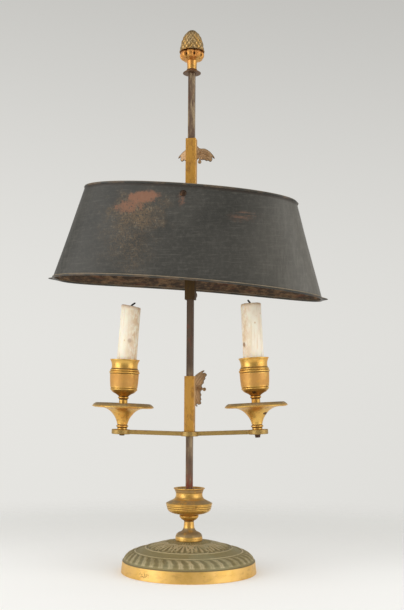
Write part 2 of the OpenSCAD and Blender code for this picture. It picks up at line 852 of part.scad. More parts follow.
// Places its children on top of the eye at the end of an arm, on the stud's axis and square to the eye
module on_arm(side) {
    along_arm(side)
        translate([side * reach(side), 0, 0])
            rotate([0, -side * holder_lean, 0])
                translate([0, 0, eye_h / 2])
                    children();
}

module bar_run(side) {
    rotate([90, 0, side * 90])
        linear_extrude(reach(side))
            offset(delta = edge, chamfer = true)
                square([bar_w - 2 * edge, bar_h - 2 * edge], center = true);
}

module eye(d) {
    turned([
        [0, -eye_h / 2], [d / 2 - edge, -eye_h / 2], [d / 2, edge - eye_h / 2],
        [d / 2, eye_h / 2 - edge], [d / 2 - edge, eye_h / 2], [0, eye_h / 2]
    ], round_fn);
}

module arm_bar() {
    color(gilt)
    difference() {
        union() {
            translate([0, 0, bar_z])
                eye(middle_eye_d);
            for (side = [LEFT, RIGHT]) {
                along_arm(side)
                    bar_run(side);
                on_arm(side)
                    translate([side * eye_out, 0, -eye_h / 2])
                        eye(eye_d);
            }
        }
        translate([0, 0, bar_z - 2 * bar_h])
            linear_extrude(4 * bar_h)
                square_section(arm_sleeve_side);
        for (side = [LEFT, RIGHT])
            on_arm(side)
                translate([0, 0, -2 * bar_h])
                    cylinder(d = stud_d + 2 * fit_gap, h = 3 * bar_h, $fn = round_fn);
    }
}

module drip_pan() {
    bore_r = stud_d / 2 + fit_gap;
    rim_r = pan_r - 4.4;
    rim_z = pan_floor + 3;
    under_z = pan_floor - 1.6;
    turned(concat(
        [[bore_r, 0], [5.6, 0], [5.6, 2.2]],
        bead([5.5, 3.6], 1.3, -80, 80),
        [[5.2, 5.2]],
        bow([5.8, 5.4], [11, pan_floor - 9.7], 0.9),
        bow([11, pan_floor - 9.7], [pan_r - 11.5, pan_floor - 2.4], 1.5),
        [[pan_r - 0.9, under_z], [pan_r, under_z + 0.4]],
        bow([pan_r, under_z + 0.8], [rim_r, rim_z], -0.5),
        [[rim_r - 0.7, rim_z - 0.2]],
        bow([rim_r - 0.9, rim_z - 0.5], [rim_r - 6, pan_floor + 0.2], -0.5),
        [[rim_r - 8, pan_floor], [bore_r, pan_floor]]
    ));
}

module candle_cup(nut_h) {
    stud_end = -eye_h - nut_h;
    barrel_top = barrel_z + barrel_h;
    turned(concat(
        [[0, stud_end], [stud_d / 2, stud_end], [stud_d / 2, pan_floor], [cup_neck_r + 1, pan_floor]],
        bow([cup_neck_r + 1, pan_floor + 0.8], [cup_neck_r, pan_floor + 3], 0.3),
        [[cup_neck_r, cup_base_h - 3.4]],
        bead([cup_neck_r + 0.1, cup_base_h - 2], 1.2, -80, 80),
        bow([cup_neck_r + 0.8, cup_base_h - 0.3], [cup_r - 4.6, cup_base_h + 3.2], 0.3),
        bow([cup_r - 4.6, cup_base_h + 3.2], [cup_r - 1.5, barrel_z - 2.7], -0.3),
        bead([cup_r - 1.6, barrel_z - 1.5], 1.2, -80, 80),
        bow([cup_r - 0.6, barrel_z], [cup_r + 0.4, barrel_top], -0.3),
        bead([cup_r + 0.1, barrel_top + 1.5], 1.3, -80, 80),
        bead([cup_r - 0.5, barrel_top + 3.9], 1.1, -70, 80),
        bow([cup_r - 0.7, collar_z], [cup_r + 0.3, cup_h - 1.5], 0.9),
        [[cup_r + 0.9, cup_h - 0.8], [cup_r + 0.9, cup_h], [cup_bore_r + 0.8, cup_h],
         [cup_bore_r, cup_h - 0.8], [cup_bore_r, cup_floor], [0, cup_floor]]
    ), round_fn);
}

module stud_nut(nut_h) {
    translate([0, 0, -eye_h - nut_h])
        difference() {
            cylinder(r1 = stud_nut_r - 0.8, r2 = stud_nut_r, h = nut_h, $fn = round_fn);
            translate([0, 0, -1])
                cylinder(d = stud_d + 2 * fit_gap, h = nut_h + 2, $fn = round_fn);
        }
}

// Places its children on the floor of a cup, shifted and leaning by lean degrees towards the rod
module in_cup(side, lean, shift) {
    on_arm(side)
        translate([-side * shift, 0, cup_floor])
            rotate([0, -side * lean, 0])
                children();
}

// How far a leaning candle's foot lifts so that its lower edge stands on the floor
function foot_lift(r, lean) = r * tan(abs(lean));

module candle(r, lean) {
    translate([0, 0, foot_lift(r, lean)])
        difference() {
            cylinder(r1 = r, r2 = r - candle_taper, h = candle_h, $fn = fine);
            translate([0, 0, candle_h - wick_depth])
                cylinder(d = wick_d + 2 * fit_gap, h = wick_depth + 1, $fn = 24);
        }
}

// A wick with its charred, thinner end bent over
module wick(r, lean, bend) {
    straight_h = wick_depth + wick_out / 2;
    translate([0, 0, foot_lift(r, lean) + candle_h - wick_depth]) {
        cylinder(d = wick_d, h = straight_h, $fn = 24);
        translate([0, 0, straight_h - wick_d / 2])
            rotate([0, bend, 0])
                cylinder(d = wick_end_d, h = (wick_out + wick_d) / 2, $fn = 24);
    }
}

module left_drip_pan() {
    color(gilt)
    on_arm(LEFT)
        drip_pan();
}

module right_drip_pan() {
    color(gilt)
    on_arm(RIGHT)
        drip_pan();
}

module left_candle_cup() {
    color(gilt)
    on_arm(LEFT)
        candle_cup(left_nut_h);
}

module right_candle_cup() {
    color(gilt)
    on_arm(RIGHT)
        candle_cup(right_nut_h);
}

module left_stud_nut() {
    color(screw_brown)
    on_arm(LEFT)
        stud_nut(left_nut_h);
}

module right_stud_nut() {
    color(screw_brown)
    on_arm(RIGHT)
        stud_nut(right_nut_h);
}

module left_candle() {
    color(wax)
    in_cup(LEFT, left_candle_lean, left_foot_shift)
        candle(left_candle_r, left_candle_lean);
}

module right_candle() {
    color(wax)
    in_cup(RIGHT, 0, 0)
        candle(right_candle_r, 0);
}

module left_wick() {
    color(char_black)
    in_cup(LEFT, left_candle_lean, left_foot_shift)
        wick(left_candle_r, left_candle_lean, left_wick_bend);
}

module right_wick() {
    color(char_black)
    in_cup(RIGHT, 0, 0)
        wick(right_candle_r, 0, right_wick_bend);
}

base_casting();
base_washer();
base_nut();
stem_foot();
stem_vase();
rod();
finial_flange();
finial_leaf_cup();
finial_pinecone();
shade_sleeve();
shade_bridge();
shade_wing_screw();
shade_set_screw();
shade_shell();
shade_top_wire();
shade_bottom_wire();
shade_rivets();
arm_sleeve();
arm_bar();
arm_wing_screw();
left_drip_pan();
right_drip_pan();
left_candle_cup();
right_candle_cup();
left_stud_nut();
right_stud_nut();
left_candle();
right_candle();
left_wick();
right_wick();
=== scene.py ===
import json
import math

import bmesh
import bpy
import numpy as np
from bpy.props import FloatProperty, FloatVectorProperty, IntProperty, PointerProperty
from mathutils import Matrix, Vector, geometry, noise


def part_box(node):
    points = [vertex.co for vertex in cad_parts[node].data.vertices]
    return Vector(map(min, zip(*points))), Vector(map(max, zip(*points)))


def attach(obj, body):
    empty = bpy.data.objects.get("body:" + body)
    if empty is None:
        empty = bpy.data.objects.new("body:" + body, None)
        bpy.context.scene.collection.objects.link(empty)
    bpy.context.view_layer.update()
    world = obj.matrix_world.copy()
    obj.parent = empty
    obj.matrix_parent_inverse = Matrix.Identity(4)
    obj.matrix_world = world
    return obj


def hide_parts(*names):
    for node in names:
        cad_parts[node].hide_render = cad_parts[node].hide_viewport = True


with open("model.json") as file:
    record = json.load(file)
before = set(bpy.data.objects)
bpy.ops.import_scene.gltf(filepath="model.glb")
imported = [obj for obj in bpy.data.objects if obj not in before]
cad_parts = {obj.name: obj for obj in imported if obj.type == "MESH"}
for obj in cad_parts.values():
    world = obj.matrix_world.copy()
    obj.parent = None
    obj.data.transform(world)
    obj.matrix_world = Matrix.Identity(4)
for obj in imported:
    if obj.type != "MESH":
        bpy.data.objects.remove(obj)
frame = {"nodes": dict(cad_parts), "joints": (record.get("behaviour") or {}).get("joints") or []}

bl_info = {
    "name": "Bouillotte Lamp",
    "version": (1, 0, 0),
    "blender": (4, 5, 0),
    "location": "View3D > Sidebar > Lamp",
    "description": "Finishes a two-candle lamp with a sliding painted shade around its construction model",
    "category": "Object",
}

MM = 0.001
TAU = 2 * math.pi
UP = (0, 0, 1)
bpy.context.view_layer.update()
JOINTS = {joint["name"]: joint for joint in frame["joints"]}


# ---------- settings ----------


def srgb(colour):
    """Linear colour of a screen colour given from 0 to 255."""
    shares = [value / 255 for value in colour]
    return tuple(v / 12.92 if v <= 0.04045 else ((v + 0.055) / 1.055) ** 2.4 for v in shares)


def settings_of(kind, options, rows, convert=lambda value: value):
    """Settings of one kind. A row is a default, a description and for some the least and the most value."""
    made = {}
    for key, (default, description, *limits) in rows.items():
        about = {"name": key.replace("_", " ").capitalize(), "description": description, "default": convert(default)}
        made[key] = kind(**about, **options, **dict(zip(("min", "max"), limits)))
    return made


def colour_settings(**rows):
    """Colours, given as screen colours."""
    return settings_of(FloatVectorProperty, {"subtype": "COLOR", "min": 0, "max": 1}, rows, srgb)


def length_settings(**rows):
    """Sizes, given in millimetres and kept in metres."""
    return settings_of(FloatProperty, {"unit": "LENGTH", "precision": 5}, rows, lambda size: size * MM)


def angle_settings(**rows):
    """Angles, given in degrees."""
    return settings_of(FloatProperty, {"subtype": "ANGLE"}, rows, math.radians)


def power_settings(**rows):
    """Powers of lights."""
    return settings_of(FloatProperty, {"subtype": "POWER", "min": 0}, rows)


def number_settings(**rows):
    """Plain numbers."""
    return settings_of(FloatProperty, {}, rows)


def whole_settings(**rows):
    """Whole numbers."""
    return settings_of(IntProperty, {}, rows)


class LampColours(bpy.types.PropertyGroup):
    """Colours of the metals, the paint and the wax."""

    __annotations__ = colour_settings(
        gilt=((228, 184, 100), "Clean gilt brass"),
        gilt_rubbed=((212, 162, 88), "Gilding rubbed towards a redder brass"),
        cup=((230, 172, 84), "Orange gilding in the rubbed places of the pans and cups"),
        cup_rubbed=((212, 146, 78), "Redder places in the finial's gilding"),
        cup_matte=((206, 153, 81), "Pale orange of the cups' grainy barrels"),
        band=((242, 198, 120), "Pale gilding of the base's band"),
        # Brown of tarnish, also painted shade in the hollows of the turned gilding
        tarnish=((92, 62, 26), "Brown in the hollows of the gilding"),
        film=((142, 121, 88), "Grey-brown film on the stem and the pans"),
        cone=((188, 146, 82), "Dull gilding of the pine cone"),
        # Olive brown, also painted shade between the cone's scales
        cone_dark=((88, 74, 48), "Olive brown between the cone's scales"),
        patina=((144, 131, 88), "Olive brown of the cast dome"),
        patina_deep=((116, 102, 72), "Dark bottom of the ornament"),
        # Rubbed tops of the ornament, also a painted highlight on them
        patina_high=((210, 192, 154), "Rubbed tops of the ornament"),
        verdigris=((150, 144, 108), "Grey-green film on the bronze"),
        sleeve=((210, 158, 76), "Dull brass of the two sleeves"),
        sleeve_dark=((132, 88, 38), "Brown stains on the sleeves"),
        # Painted shadow on the sleeve inside the shade
        sleeve_foot=((42, 32, 20), "Dark brown of the sleeve inside the shade"),
        brown=((186, 152, 114), "Brown plates of the screws"),
        brown_dark=((62, 46, 34), "Dark edges of the screws"),
        flange=((116, 90, 68), "Dark brown of the finial's flange"),
        bar=((172, 142, 84), "Darkened brass of the arms"),
        iron=((112, 90, 73), "Brown iron of the rod"),
        iron_dark=((82, 65, 54), "Darker iron between the two sleeves"),
        iron_pale=((180, 158, 124), "Rubbed grey-olive iron"),
        rust=((124, 60, 38), "Red rust"),
        rivet=((78, 56, 44), "Brown nuts under the arms"),
        japan=((50, 49, 44), "Paint of the shade"),
        japan_pale=((86, 83, 76), "Paint rubbed grey"),
        # Pale scuffs, also the painted sheen at the shade's right-hand end
        scuffed=((114, 110, 101), "Pale scuffs at the shade's ends"),
        mottled=((112, 92, 68), "Olive brown of thin paint round the bared places"),
        primer=((140, 100, 76), "Tan ground under worn paint"),
        inside=((130, 101, 70), "Brown inside of the shade"),
        # Soot, also the painted shadow under the top wire
        inside_dark=((46, 36, 27), "Soot inside the shade"),
        # Grey-tan metal, also the painted highlight along the wires' upper side
        edge_pale=((160, 143, 114), "Grey-tan metal along the shade's rim"),
        wax=((253, 243, 222), "Cream wax"),
        wax_stain=((220, 184, 138), "Tan streaks in the wax"),
        wax_burnt=((158, 118, 82), "Brown of the wax's rim and pits"),
        char=((26, 21, 18), "Burnt wick"),
    )


class BaseOrnament(bpy.types.PropertyGroup):
    """Cast ornament of the dome."""

    __annotations__ = {
        **whole_settings(
            leaves=(40, "Leaves round the frieze", 8),
            palmettes=(12, "Palmettes round the stem", 4),
        ),
        **length_settings(
            leaf_depth=(0.8, "Relief of the leaves"),
            palmette_depth=(0.9, "Relief of the palmettes"),
            frieze_outside=(72.2, "Outer radius of the leaves"),
            frieze_inside=(60.8, "Inner radius of the leaves"),
            outer_bead=(59.5, "Radius of the bead inside the frieze"),
            inner_bead=(48, "Radius of the bead round the palmettes"),
            palmette_outside=(46.6, "Outer radius of the palmettes"),
            palmette_inside=(16.5, "Inner radius of the palmettes"),
        ),
        **number_settings(leaf_slant=(0.75, "How far a leaf leans across the frieze, in leaves", -2, 2)),
    }


class FinialShape(bpy.types.PropertyGroup):
    """Pine cone and its cup of petals."""

    __annotations__ = {
        **number_settings(rows=(6.5, "Rows of scales up the cone", 3, 12)),
        **whole_settings(scales=(12, "Scales in a row", 6), petals=(8, "Petals round the cup", 4)),
        **length_settings(
            scale_depth=(2.1, "Depth between two scales"),
            petal_depth=(1.5, "Depth between two petals"),
            notch_depth=(2.6, "Extra depth of the holes between petals"),
        ),
    }


class ShadeShape(bpy.types.PropertyGroup):
    """Form of the painted shade."""

    __annotations__ = {
        **angle_settings(
            lean=(4.4, "Lean of the shade, right-hand end down"),
            top_slope=(1.2, "Slope of the top edge, right-hand end down"),
            bottom_slope=(0.7, "Slope of the bottom edge, right-hand end down"),
            ear_spread=(5, "Spread of an ear round the edge, on each side of its point"),
        ),
        **number_settings(
            top_squareness=(2.6, "Bend of the top edge, 2 being an ellipse", 1.5, 4),
            bottom_squareness=(2.9, "Bend of the bottom edge, 2 being an ellipse", 1.5, 4),
        ),
        **length_settings(
            top_x=(119, "Half length of the top edge"),
            top_y=(47.7, "Half depth of the top edge"),
            top_z=(8.2, "Height of the top edge's ends above the rivets"),
            top_arch=(2.9, "Rise of the top edge's middle above its ends"),
            top_shift=(-2, "How far the top edge stands to the right"),
            top_ear=(0.8, "Length of the lips at the ends of the top edge"),
            bottom_x=(150.8, "Half length of the bottom edge"),
            bottom_y=(54.3, "Half depth of the bottom edge"),
            bottom_z=(-96.8, "Height of the bottom edge's ends above the rivets"),
            bottom_arch=(4.7, "Rise of the bottom edge's middle above its ends"),
            bottom_shift=(2, "How far the bottom edge stands to the right"),
            left_ear=(8.7, "Length of the bottom edge's left-hand ear"),
            right_ear=(5.4, "Length of the bottom edge's right-hand ear"),
            sheet=(0.8, "Thickness of the sheet"),
            wire=(1.36, "Radius of the wired edges"),
            dent=(0.8, "Depth of the dents in the sheet"),
            ripple=(0.1, "Depth of the fine ripple in the sheet"),
        ),
    }


class ScrewShape(bpy.types.PropertyGroup):
    """Butterfly thumb screws and the round set screw."""

    __annotations__ = {
        **length_settings(
            span=(42.4, "Span of a butterfly from tip to tip"),
            plate=(1.5, "Thickness of a butterfly"),
            vein=(0.35, "Depth of the veins in a wing"),
            curl=(2.4, "How far the tips curl back"),
            pitch=(0.8, "Pitch of the threads"),
            thread=(0.28, "Depth of the threads"),
            knob_shift=(4.4, "How far the upper butterfly's knob stands to the right"),
        ),
        **angle_settings(
            upper_turn=(2.5, "Turn of the upper butterfly, right-hand side down"),
            lower_turn=(79, "Turn of the lower butterfly, right-hand side up"),
        ),
        **whole_settings(knurls=(36, "Knurls round the set screw's head", 12)),
    }


class CandleShape(bpy.types.PropertyGroup):
    """The two burnt stubs."""

    __annotations__ = length_settings(
        wave=(0.9, "Unevenness of the melted rim"),
        dish=(2.6, "Depth of the melted hollow round the wick"),
        swell=(0.22, "Unevenness of the wax"),
    )


class StageLook(bpy.types.PropertyGroup):
    """Camera, floor and lights."""

    __annotations__ = {
        **length_settings(
            distance=(1021.5, "Camera's distance from the rod"),
            height=(190, "Camera's height above the floor"),
        ),
        **angle_settings(azimuth=(10, "Camera's turn round the rod, towards +X"), roll=(0.37, "Camera's roll")),
        **number_settings(
            lens=(54.3, "Focal length in millimetres", 10),
            shift_x=(0.02, "Sideways shift", -0.5, 0.5),
            shift_y=(0.156, "Upward shift", -0.5, 0.5),
            world=(0.64, "Strength of the room's light", 0, 2),
        ),
        **power_settings(
            key=(8, "Power of the left softbox"),
            fill=(6.5, "Power of the right softbox"),
            top=(5, "Power of the overhead light"),
        ),
        **colour_settings(
            wall_low=((230, 229, 225), "Backdrop at the horizon"),
            wall_high=((150, 149, 145), "Backdrop high up"),
            floor=((247, 246, 242), "Plain floor"),
            # Painted shade on the floor behind the lamp
            floor_far=((226, 225, 220), "Floor behind the lamp"),
            flag=((152, 147, 138), "Grey card behind the camera, which only polished metal shows"),
        ),
    }


# ---------- node trees ----------


class Value:
    """An output socket that takes part in arithmetic."""

    def __init__(self, nodes, socket):
        self.nodes = nodes
        self.socket = socket

    def __add__(self, other):
        return self.nodes.math("ADD", self, other)

    __radd__ = __add__

    def __mul__(self, other):
        return self.nodes.math("MULTIPLY", self, other)

    __rmul__ = __mul__

    def __sub__(self, other):
        return self.nodes.math("SUBTRACT", self, other)

    def __rsub__(self, other):
        return self.nodes.math("SUBTRACT", other, self)

    def __truediv__(self, other):
        return self.nodes.math("DIVIDE", self, other)

    def __pow__(self, other):
        return self.nodes.math("POWER", self, other)

    def __abs__(self):
        return self.nodes.math("ABSOLUTE", self)

    def most(self, other):
        """The larger of this value and another."""
        return self.nodes.math("MAXIMUM", self, other)

    def between(self, low, high):
        """0 at low, 1 at high and smooth from one to the other; low may be the larger."""
        inputs = {"Value": self, "From Min": low, "From Max": high}
        return self.nodes.value("ShaderNodeMapRange", {"interpolation_type": "SMOOTHSTEP"}, inputs)


class Nodes:
    """Builds a node tree: every node is made by one method from its type, settings and inputs."""

    def __init__(self, tree):
        self.tree = tree
        tree.nodes.clear()

    def node(self, kind, settings=None, inputs=None):
        """Adds a node, sets it, and then gives its sockets their values or links."""
        made = self.tree.nodes.new(kind)
        for name, setting in (settings or {}).items():
            setattr(made, name, setting)
        for name, value in (inputs or {}).items():
            socket = made.inputs[name]
            if isinstance(value, Value):
                self.tree.links.new(value.socket, socket)
            elif socket.type == "RGBA" and len(value) == 3:
                socket.default_value = (*value, 1)
            else:
                socket.default_value = value
        return made

    def value(self, kind, settings=None, inputs=None, output=0):
        """One output of a new node."""
        return Value(self, self.node(kind, settings, inputs).outputs[output])

    def math(self, operation, *inputs):
        """A Math node."""
        return self.value("ShaderNodeMath", {"operation": operation}, dict(enumerate(inputs)))

    def blend(self, first, second, share):
        """Colour first where share is 0 and second where it is 1, through the Mix node's colour sockets."""
        inputs = {0: share, 6: first, 7: second}
        return self.value("ShaderNodeMix", {"data_type": "RGBA"}, inputs, output=2)

    def coats(self, colour, *over):
        """A colour with others laid over it in turn, each by its share."""
        for coat, share in over:
            colour = self.blend(colour, coat, share)
        return colour

    def along(self, axis, coordinates="Object"):
        """X, Y or Z of the object coordinates, in metres, or of other coordinates."""
        where = self.value("ShaderNodeTexCoord", output=coordinates)
        return self.value("ShaderNodeSeparateXYZ", None, {0: where}, output=axis)


class Finish(Nodes):
    """A material. Its methods take sizes in millimetres, apart from bump."""

    def __init__(self, name):
        self.material = bpy.data.materials.new(name)
        self.material.use_nodes = True
        super().__init__(self.material.node_tree)

    def front(self, low, high):
        """1 in front of Y low and 0 behind Y high."""
        return 1 - self.along("Y").between(low * MM, high * MM)

    def attribute(self, name):
        """A number kept on the mesh."""
        return self.value("ShaderNodeAttribute", {"attribute_name": name}, output="Fac")

    def place(self, stretch, shift=(0, 0, 0)):
        """Object coordinates, scaled and shifted."""
        where = self.value("ShaderNodeTexCoord", output="Object")
        return self.value("ShaderNodeMapping", None, {"Vector": where, "Scale": stretch, "Location": shift})

    def noise(self, size, detail=3, roughness=0.5, stretch=(1, 1, 1), shift=0):
        """Noise from 0 to 1 whose features are about size across."""
        inputs = {
            "Vector": self.place(stretch, (shift, shift * 0.7, shift * 1.3)),
            "Scale": 1 / (size * MM),
            "Detail": detail,
            "Roughness": roughness,
        }
        return self.value("ShaderNodeTexNoise", None, inputs)

    def patches(self, size, low, high, **looks):
        """Noise made 0 up to low and 1 from high."""
        return self.noise(size, **looks).between(low, high)

    def dots(self, apart, edge, core, stretch=(1, 1, 1)):
        """Dots about apart from each other, 1 within core of their middle and 0 beyond edge, as shares of apart."""
        inputs = {"Vector": self.place(stretch), "Scale": 1 / (apart * MM)}
        return self.value("ShaderNodeTexVoronoi", None, inputs).between(edge, core)

    def bump(self, height, depth):
        """A Bump node whose height of 1 stands depth metres proud."""
        return self.value("ShaderNodeBump", None, {"Strength": 1.0, "Distance": depth, "Height": height})

    def surface(self, **inputs):
        """Ends in a Principled shader, whose sockets' names have underscores for spaces here."""
        named = {key.replace("_", " "): value for key, value in inputs.items()}
        return self.output(self.value("ShaderNodeBsdfPrincipled", None, named))

    def output(self, shader):
        """Makes a shader the material's surface."""
        self.node("ShaderNodeOutputMaterial", None, {"Surface": shader})
        return self.material


# ---------- finishes ----------

# In this part a size without MM is in millimetres


def worn_place(f, place, size, softness, grain, seed, torn=2.2):
    """1 inside a worn place with a torn edge. place and size are its middle and reach along X and Z."""
    across = (f.along("X") - place[0] * MM) / (size[0] * MM)
    upward = (f.along("Z") - place[1] * MM) / (size[1] * MM)
    away = (across * across + upward * upward) ** 0.5
    edge = f.noise(grain, detail=6, roughness=0.68, shift=seed) - 0.5
    return (1 - away + edge * torn).between(0, softness)


def gilt_brass(colours, name, main, worn, rough, filmed=None, spot=None):
    """Old gilt brass, redder where worn, brown with tarnish and painted shade in the hollows, and in another colour
    where the mesh has a film.

    spot is the X and Z of a dark stain on the front.
    """
    f = Finish(name)
    rubbed = f.patches(16, 0.42, 0.66, detail=5, roughness=0.6)
    # Brown tarnish and painted shade in the hollows of the turning, from the mesh's hollow attribute
    hollow = f.attribute("hollow").between(0.1, 0.8)
    stain = f.patches(5, 0.54, 0.72, detail=4, roughness=0.65, shift=3) * 0.5
    specks = f.dots(3.2, 0.16, 0.06) * f.patches(9, 0.5, 0.6, shift=5)
    dark = (hollow * 0.95).most(stain).most(specks * 0.7)
    if spot:
        dark = dark.most(worn_place(f, spot, (3, 2), 0.5, 2, 17, 1.6) * f.front(-3, 0))
    film = f.attribute("film") * f.patches(7, 0.2, 0.5, detail=4, shift=13)
    colour = f.coats(main, (worn, rubbed), (colours.tarnish, dark), (filmed or colours.film, film * 0.92))
    lines = f.noise(0.9, detail=2, stretch=(0.08, 0.08, 1.6), shift=2)
    grain = f.noise(0.8, shift=7)
    return f.surface(
        Base_Color=colour,
        Metallic=1 - dark * 0.45 - film * 0.4,
        Roughness=rough + 0.12 * rubbed + 0.25 * dark + film * 0.16 + 0.1 * grain,
        Normal=f.bump(lines * 0.6 + grain * 0.5, 0.06 * MM),
    )


def cone_gilt(colours):
    """The pine cone: light gold tips, olive-brown gaps that are partly painted shade, and darker towards its blunt top.
    """
    f = Finish("cone_gilt")
    low, high = (corner.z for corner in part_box("finial_pinecone"))
    clouds = f.patches(7, 0.4, 0.62, detail=5, roughness=0.6)
    # Olive-brown gaps between the scales, partly painted shade
    hollow = f.attribute("hollow").between(0.2, 0.9)
    top = f.along("Z").between(low + 0.5 * (high - low), high)
    dark = hollow.most(top * 0.9).most(clouds * 0.4)
    return f.surface(
        Base_Color=f.coats(colours.cone, (colours.patina_high, clouds * 0.4), (colours.cone_dark, dark)),
        Metallic=0.95 - dark * 0.4,
        Roughness=0.3 + dark * 0.26,
        Normal=f.bump(f.noise(0.8, shift=7), 0.1 * MM),
    )


def patinated_bronze(colours, band_top):
    """The base: a gilt band below band_top and an olive dome above it, rubbed and painted lighter as a highlight on its
    ornament's tops.
    """
    f = Finish("patinated_bronze")
    relief = f.attribute("relief")
    clouds = f.noise(18, detail=5, roughness=0.6)
    grain = f.noise(1.1, detail=4, roughness=0.6, shift=4)
    film = f.patches(26, 0.48, 0.62, detail=4, shift=8)
    deep = (0.5 - relief).between(0.0, 0.5)
    # Paler tops of the ornament: rubbed wear and a painted highlight
    worn = (relief + grain * 0.6).between(0.75, 1.3) * (0.25 + 0.5 * clouds.between(0.3, 0.6))
    dome = f.coats(
        colours.patina, (colours.verdigris, film * 0.7), (colours.patina_deep, deep * 0.45), (colours.patina_high, worn)
    )
    scratch = f.patches(4, 0.63, 0.7, detail=5, roughness=0.75, stretch=(1, 1, 2.2), shift=6)
    blush = f.patches(9, 0.5, 0.7, detail=4, stretch=(1, 1, 2.5), shift=12)
    nicks = worn_place(f, (-35, 6), (9, 3.5), 0.6, 3, 15) * grain.between(0.45, 0.6) * f.front(-5, 5)
    band = f.coats(
        colours.band,
        (colours.gilt, clouds.between(0.35, 0.7)),
        (colours.rust, blush * 0.16),
        (colours.tarnish, (scratch * 0.5).most(nicks * 0.75)),
    )
    z = f.along("Z")
    up = (z + grain * (0.6 * MM)).between(band_top - 0.1 * MM, band_top + 0.5 * MM)
    line = 1 - abs(z - (band_top + 0.2 * MM)).between(0.2 * MM, 1.0 * MM)
    pits = f.noise(0.7, detail=4, roughness=0.7, shift=9)
    return f.surface(
        Base_Color=f.coats(band, (dome, up), (colours.patina_deep, line * 0.75)),
        Metallic=1 - up * 0.5 + worn * up * 0.2,
        Roughness=0.4 + up * 0.16 - worn * up * 0.06 + scratch * 0.2 + 0.08 * grain,
        Normal=f.bump(pits, (0.16 * MM) * up + 0.03 * MM),
    )


def sleeve_brass(colours, low, high):
    """Dull drawn brass with brown stains that run up and down, and a dark brown painted shadow from low to high, inside
    the shade.
    """
    f = Finish("sleeve_brass")
    streak = f.noise(5, detail=4, roughness=0.6, stretch=(1.5, 1.5, 0.22), shift=1)
    stains = f.patches(7, 0.5, 0.68, detail=5, roughness=0.65, stretch=(1, 1, 0.5), shift=3)
    spots = f.dots(6, 0.2, 0.08) * f.patches(14, 0.48, 0.6, shift=5)
    dark = (stains * 0.65).most(spots * 0.8)
    z = f.along("Z")
    # Painted shadow on the sleeve inside the shade, from low to high
    foot = z.between(low - 1 * MM, low) * (1 - z.between(high - 6 * MM, high + 6 * MM))
    grain = f.noise(0.8, stretch=(1, 1, 0.2), shift=7)
    colour = f.coats(
        colours.sleeve,
        (colours.gilt_rubbed, streak.between(0.4, 0.7) * 0.5),
        (colours.sleeve_dark, dark),
        (colours.sleeve_foot, foot * (0.8 + 0.2 * streak)),
    )
    return f.surface(
        Base_Color=colour,
        Metallic=1 - dark * 0.5 - foot * 0.4,
        Roughness=0.42 + 0.18 * dark + 0.1 * grain + foot * 0.1,
        Normal=f.bump(grain + stains * 0.4, 0.08 * MM),
    )


def brown_brass(colours, name, main, edge_share):
    """Brass gone brown, darker towards the edges kept in the mesh's rim attribute."""
    f = Finish(name)
    clouds = f.patches(6, 0.5, 0.7, detail=4, roughness=0.6)
    rim = f.attribute("rim") * edge_share
    dark = rim.most(f.patches(3, 0.62, 0.72, detail=4, shift=4) * 0.5)
    grain = f.noise(0.7, shift=6)
    return f.surface(
        Base_Color=f.coats(main, (colours.sleeve_dark, clouds * 0.45), (colours.brown_dark, dark)),
        Metallic=0.8 - 0.4 * dark,
        Roughness=0.42 + 0.2 * dark + 0.1 * grain,
        Normal=f.bump(grain, 0.08 * MM),
    )


def dark_iron(colours, name, rust_top=0, dark_from=0, dark_to=0):
    """Brown forged iron, rubbed olive, darker from dark_from to dark_to and rusty below rust_top."""
    f = Finish(name)
    z = f.along("Z")
    pale = f.patches(9, 0.42, 0.6, detail=5, roughness=0.62, stretch=(2.5, 2.5, 0.35), shift=2)
    # Darker between the two sleeves
    between_sleeves = z.between(dark_from - 15 * MM, dark_from + 15 * MM) * (1 - z.between(dark_to - 8 * MM, dark_to + 8 * MM))
    stripes = f.patches(2.2, 0.45, 0.62, detail=4, roughness=0.6, stretch=(1, 1, 0.06), shift=8)
    spots = f.patches(5, 0.56, 0.68, detail=5, roughness=0.7, stretch=(1, 1, 0.5), shift=6)
    low = 1 - z.between(rust_top, rust_top + 24 * MM)
    rust = (spots * 0.4).most(low * f.patches(3, 0.38, 0.54, detail=5, shift=9))
    grain = f.noise(1.2, detail=4, roughness=0.65, shift=3)
    colour = f.coats(
        colours.iron,
        (colours.iron_pale, pale * 0.75),
        (colours.iron_dark, (between_sleeves * 0.9).most(stripes * 0.55)),
        (colours.rust, rust),
    )
    return f.surface(
        Base_Color=colour,
        Metallic=0.6 - 0.5 * rust,
        Roughness=0.46 + 0.2 * rust + 0.14 * grain,
        Normal=f.bump(grain + rust * 0.5, 0.16 * MM),
    )


